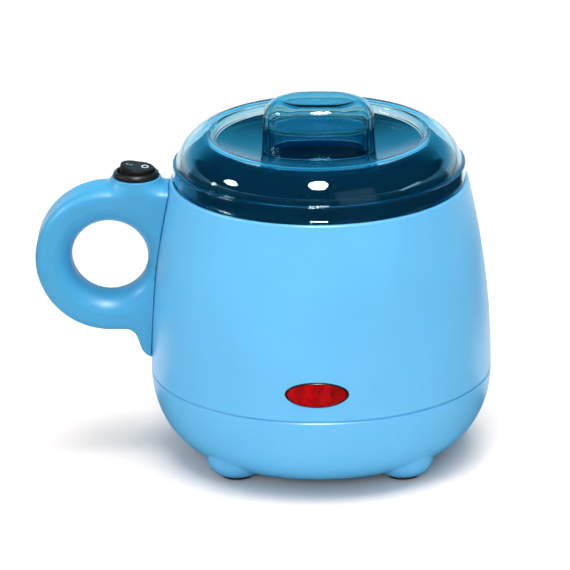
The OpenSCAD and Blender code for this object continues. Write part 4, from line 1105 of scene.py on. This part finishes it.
def gland_mesh():
    """Rubber gland turned round a horizontal axis through the rear wall."""
    out_y = BODY_R + 0.1
    in_y = float(barrel_r(GLAND_Z, SHELL_WALL)) - 0.6
    profile = round_corners([
        (CORD_BORE_R, in_y), (CORD_BORE_R, in_y - 1.5), (GLAND_FLANGE_R, in_y - 1.5),
        (GLAND_FLANGE_R, in_y), (GLAND_R, in_y), (GLAND_R, out_y), (GLAND_FLANGE_R, out_y),
        (GLAND_R, out_y + 2.2), (CORD_BORE_R, out_y + 2.2), (CORD_BORE_R, in_y)], 0.4)
    loops = [upright_oval(r, r, y, GLAND_Z, 64) for r, y in profile[:-1]]
    return loft(loops + [loops[0]], False, False)


gland = outward(new_piece("cord_gland_skin", *merged(*gland_mesh()), RUBBER, "housing",
                          "gland_rubber"))
sharp_by_angle(gland, 45)
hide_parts("cord_gland")


# Floor, light and camera

# Floor in metres: what lies behind MIRROR_FAR is mirrored too
MIRROR_LEFT = -0.18
MIRROR_RIGHT = 0.21
MIRROR_NEAR = 0.04
MIRROR_FAR = 0.34
FLOOR_END = 6.0
GLEAM_DISTANCE = 1.6


def floor(name, left, right, near, far, mirrored):
    """Part of the floor, in metres; mirrored parts show in reflections and through clear pieces."""
    corners = [(left, near, 0), (right, near, 0), (right, far, 0), (left, far, 0)]
    mesh = bpy.data.meshes.new(name)
    mesh.from_pydata(corners, [], [(0, 1, 2, 3)])
    mesh.materials.append(FLOOR_WHITE)
    obj = linked(name, mesh)
    obj.visible_glossy = mirrored
    obj.visible_transmission = mirrored


def softbox(name, place, target, width, height, power, colour=(1, 1, 1), shape="RECTANGLE"):
    """Area light in metres aimed at a point; it lights matt surfaces but is seen nowhere."""
    light = bpy.data.lights.new(name, "AREA")
    light.shape = shape
    light.size = width
    light.size_y = height
    light.energy = power
    light.color = colour
    obj = linked(name, light)
    obj.location = place
    obj.rotation_euler = (Vector(target) - Vector(place)).to_track_quat("-Z", "Y").to_euler()
    obj.visible_camera = False
    obj.visible_glossy = False
    obj.visible_transmission = False
    return obj


def gleam(name, azimuth, elevation, width, height, radiance, colour=(1, 1, 1), fade=None,
          shape="RECTANGLE"):
    """Light aimed at the lid that shows only in reflections and through clear pieces.

    Its place and size are angles in degrees. fade gives the colour at its top edge; without it
    the light is even."""
    a, e = math.radians(azimuth), math.radians(elevation)
    aim = Vector((BODY_AXIS_X * MM, 0, RECESS_Z * MM))
    way = Vector((math.cos(a) * math.cos(e), math.sin(a) * math.cos(e), math.sin(e)))
    wide, high = (2 * GLEAM_DISTANCE * math.tan(math.radians(angle) / 2)
                  for angle in (width, height))
    power = 4 * wide * high * radiance
    lamp = softbox(name, aim + GLEAM_DISTANCE * way, aim, wide, high, power, colour, shape)
    lamp.visible_diffuse = False
    lamp.visible_glossy = True
    lamp.visible_transmission = True
    if fade:
        lamp.data.color = (1, 1, 1)
        lamp.data.use_nodes = True
        tree = lamp.data.node_tree
        place = tree.nodes.new("ShaderNodeNewGeometry")
        split = tree.nodes.new("ShaderNodeSeparateXYZ")
        ramp = tree.nodes.new("ShaderNodeValToRGB")
        ramp.color_ramp.interpolation = "EASE"
        ramp.color_ramp.elements[0].color = (*colour, 1)
        ramp.color_ramp.elements[1].color = (*fade, 1)
        tree.links.new(place.outputs["Parametric"], split.inputs["Vector"])
        tree.links.new(split.outputs["Y"], ramp.inputs["Fac"])
        tree.links.new(ramp.outputs["Color"], tree.nodes["Emission"].inputs["Color"])


floor("floor_front", -FLOOR_END, FLOOR_END, -FLOOR_END, MIRROR_NEAR, False)
floor("floor_left", -FLOOR_END, MIRROR_LEFT, MIRROR_NEAR, MIRROR_FAR, False)
floor("floor_middle", MIRROR_LEFT, MIRROR_RIGHT, MIRROR_NEAR, MIRROR_FAR, True)
floor("floor_right", MIRROR_RIGHT, FLOOR_END, MIRROR_NEAR, MIRROR_FAR, False)
floor("floor_back", -FLOOR_END, FLOOR_END, MIRROR_FAR, FLOOR_END, True)
world = bpy.data.worlds.new("studio")
bpy.context.scene.world = world
world.use_nodes = True
background = world.node_tree.nodes["Background"]
background.inputs["Color"].default_value = (1, 1, 1, 1)
background.inputs["Strength"].default_value = 0.50
world.cycles_visibility.glossy = False
world.cycles_visibility.transmission = False
softbox("key_top", (0.1, -0.15, 1.5), (0.02, 0, 0.05), 1.2, 0.9, 26)
softbox("front_fill", (-0.3, -1.9, 0.68), (0.02, 0, 0.07), 0.9, 0.9, 13.6)
gleam("front_window", -89.5, 58.5, 12, 22, 45, shape="ELLIPSE")
gleam("left_spark", -171, 29.6, 12, 9, 25, shape="ELLIPSE")
gleam("left_dot", 177, 15, 3, 4, 20, shape="ELLIPSE")
gleam("right_streak", -8, 19, 20, 3, 3, (0.6, 0.8, 1.0))
gleam("pale_window", -57, 25, 30, 34, 0.3, (0.5, 0.85, 1.0))
gleam("backdrop_low", 90, 10, 110, 24, 1.0, (0.8, 0.95, 1.0), (0.05, 0.5, 0.8))
gleam("backdrop_high", 90, 36, 90, 28, 1.0, (0.05, 0.5, 0.8), (0.0, 0.05, 0.1))

CAMERA_DISTANCE = 2500.0
CAMERA_HEIGHT = 946.4
CAMERA_PITCH = math.radians(19.41)
CAMERA_YAW = math.radians(-0.31)
CAMERA_ROLL = math.radians(-0.75)
CAMERA_AZIMUTH = math.radians(1.6)
FOCAL_PIXELS = 6940.3
IMAGE_PIXELS = 570.0
SENSOR = 36.0


def camera():
    """Camera at the photograph's viewing angle."""
    forward = np.array([math.sin(CAMERA_YAW) * math.cos(CAMERA_PITCH),
                        math.cos(CAMERA_YAW) * math.cos(CAMERA_PITCH), -math.sin(CAMERA_PITCH)])
    right = np.array([math.cos(CAMERA_YAW), -math.sin(CAMERA_YAW), 0.0])
    up = np.cross(right, forward)
    rolled_right = right * math.cos(CAMERA_ROLL) + up * math.sin(CAMERA_ROLL)
    rolled_up = -right * math.sin(CAMERA_ROLL) + up * math.cos(CAMERA_ROLL)
    turn = Matrix.Rotation(CAMERA_AZIMUTH, 4, "Z")
    pose = Matrix.Identity(4)
    for column, axis in enumerate((rolled_right, rolled_up, -forward)):
        for row in range(3):
            pose[row][column] = float(axis[row])
    pose.col[3] = Vector((0, -CAMERA_DISTANCE * MM, CAMERA_HEIGHT * MM, 1))
    shift = Matrix.Translation((BODY_AXIS_X * MM, 0, 0))
    data = bpy.data.cameras.new("camera")
    data.sensor_width = SENSOR
    data.lens = FOCAL_PIXELS * SENSOR / IMAGE_PIXELS
    data.clip_start = 0.1
    data.clip_end = 50
    obj = linked("camera", data)
    obj.matrix_world = shift @ turn @ pose
    bpy.context.scene.camera = obj


camera()
scene = bpy.context.scene
scene.view_settings.view_transform = "Standard"
scene.cycles.max_bounces = 24
scene.cycles.transmission_bounces = 24
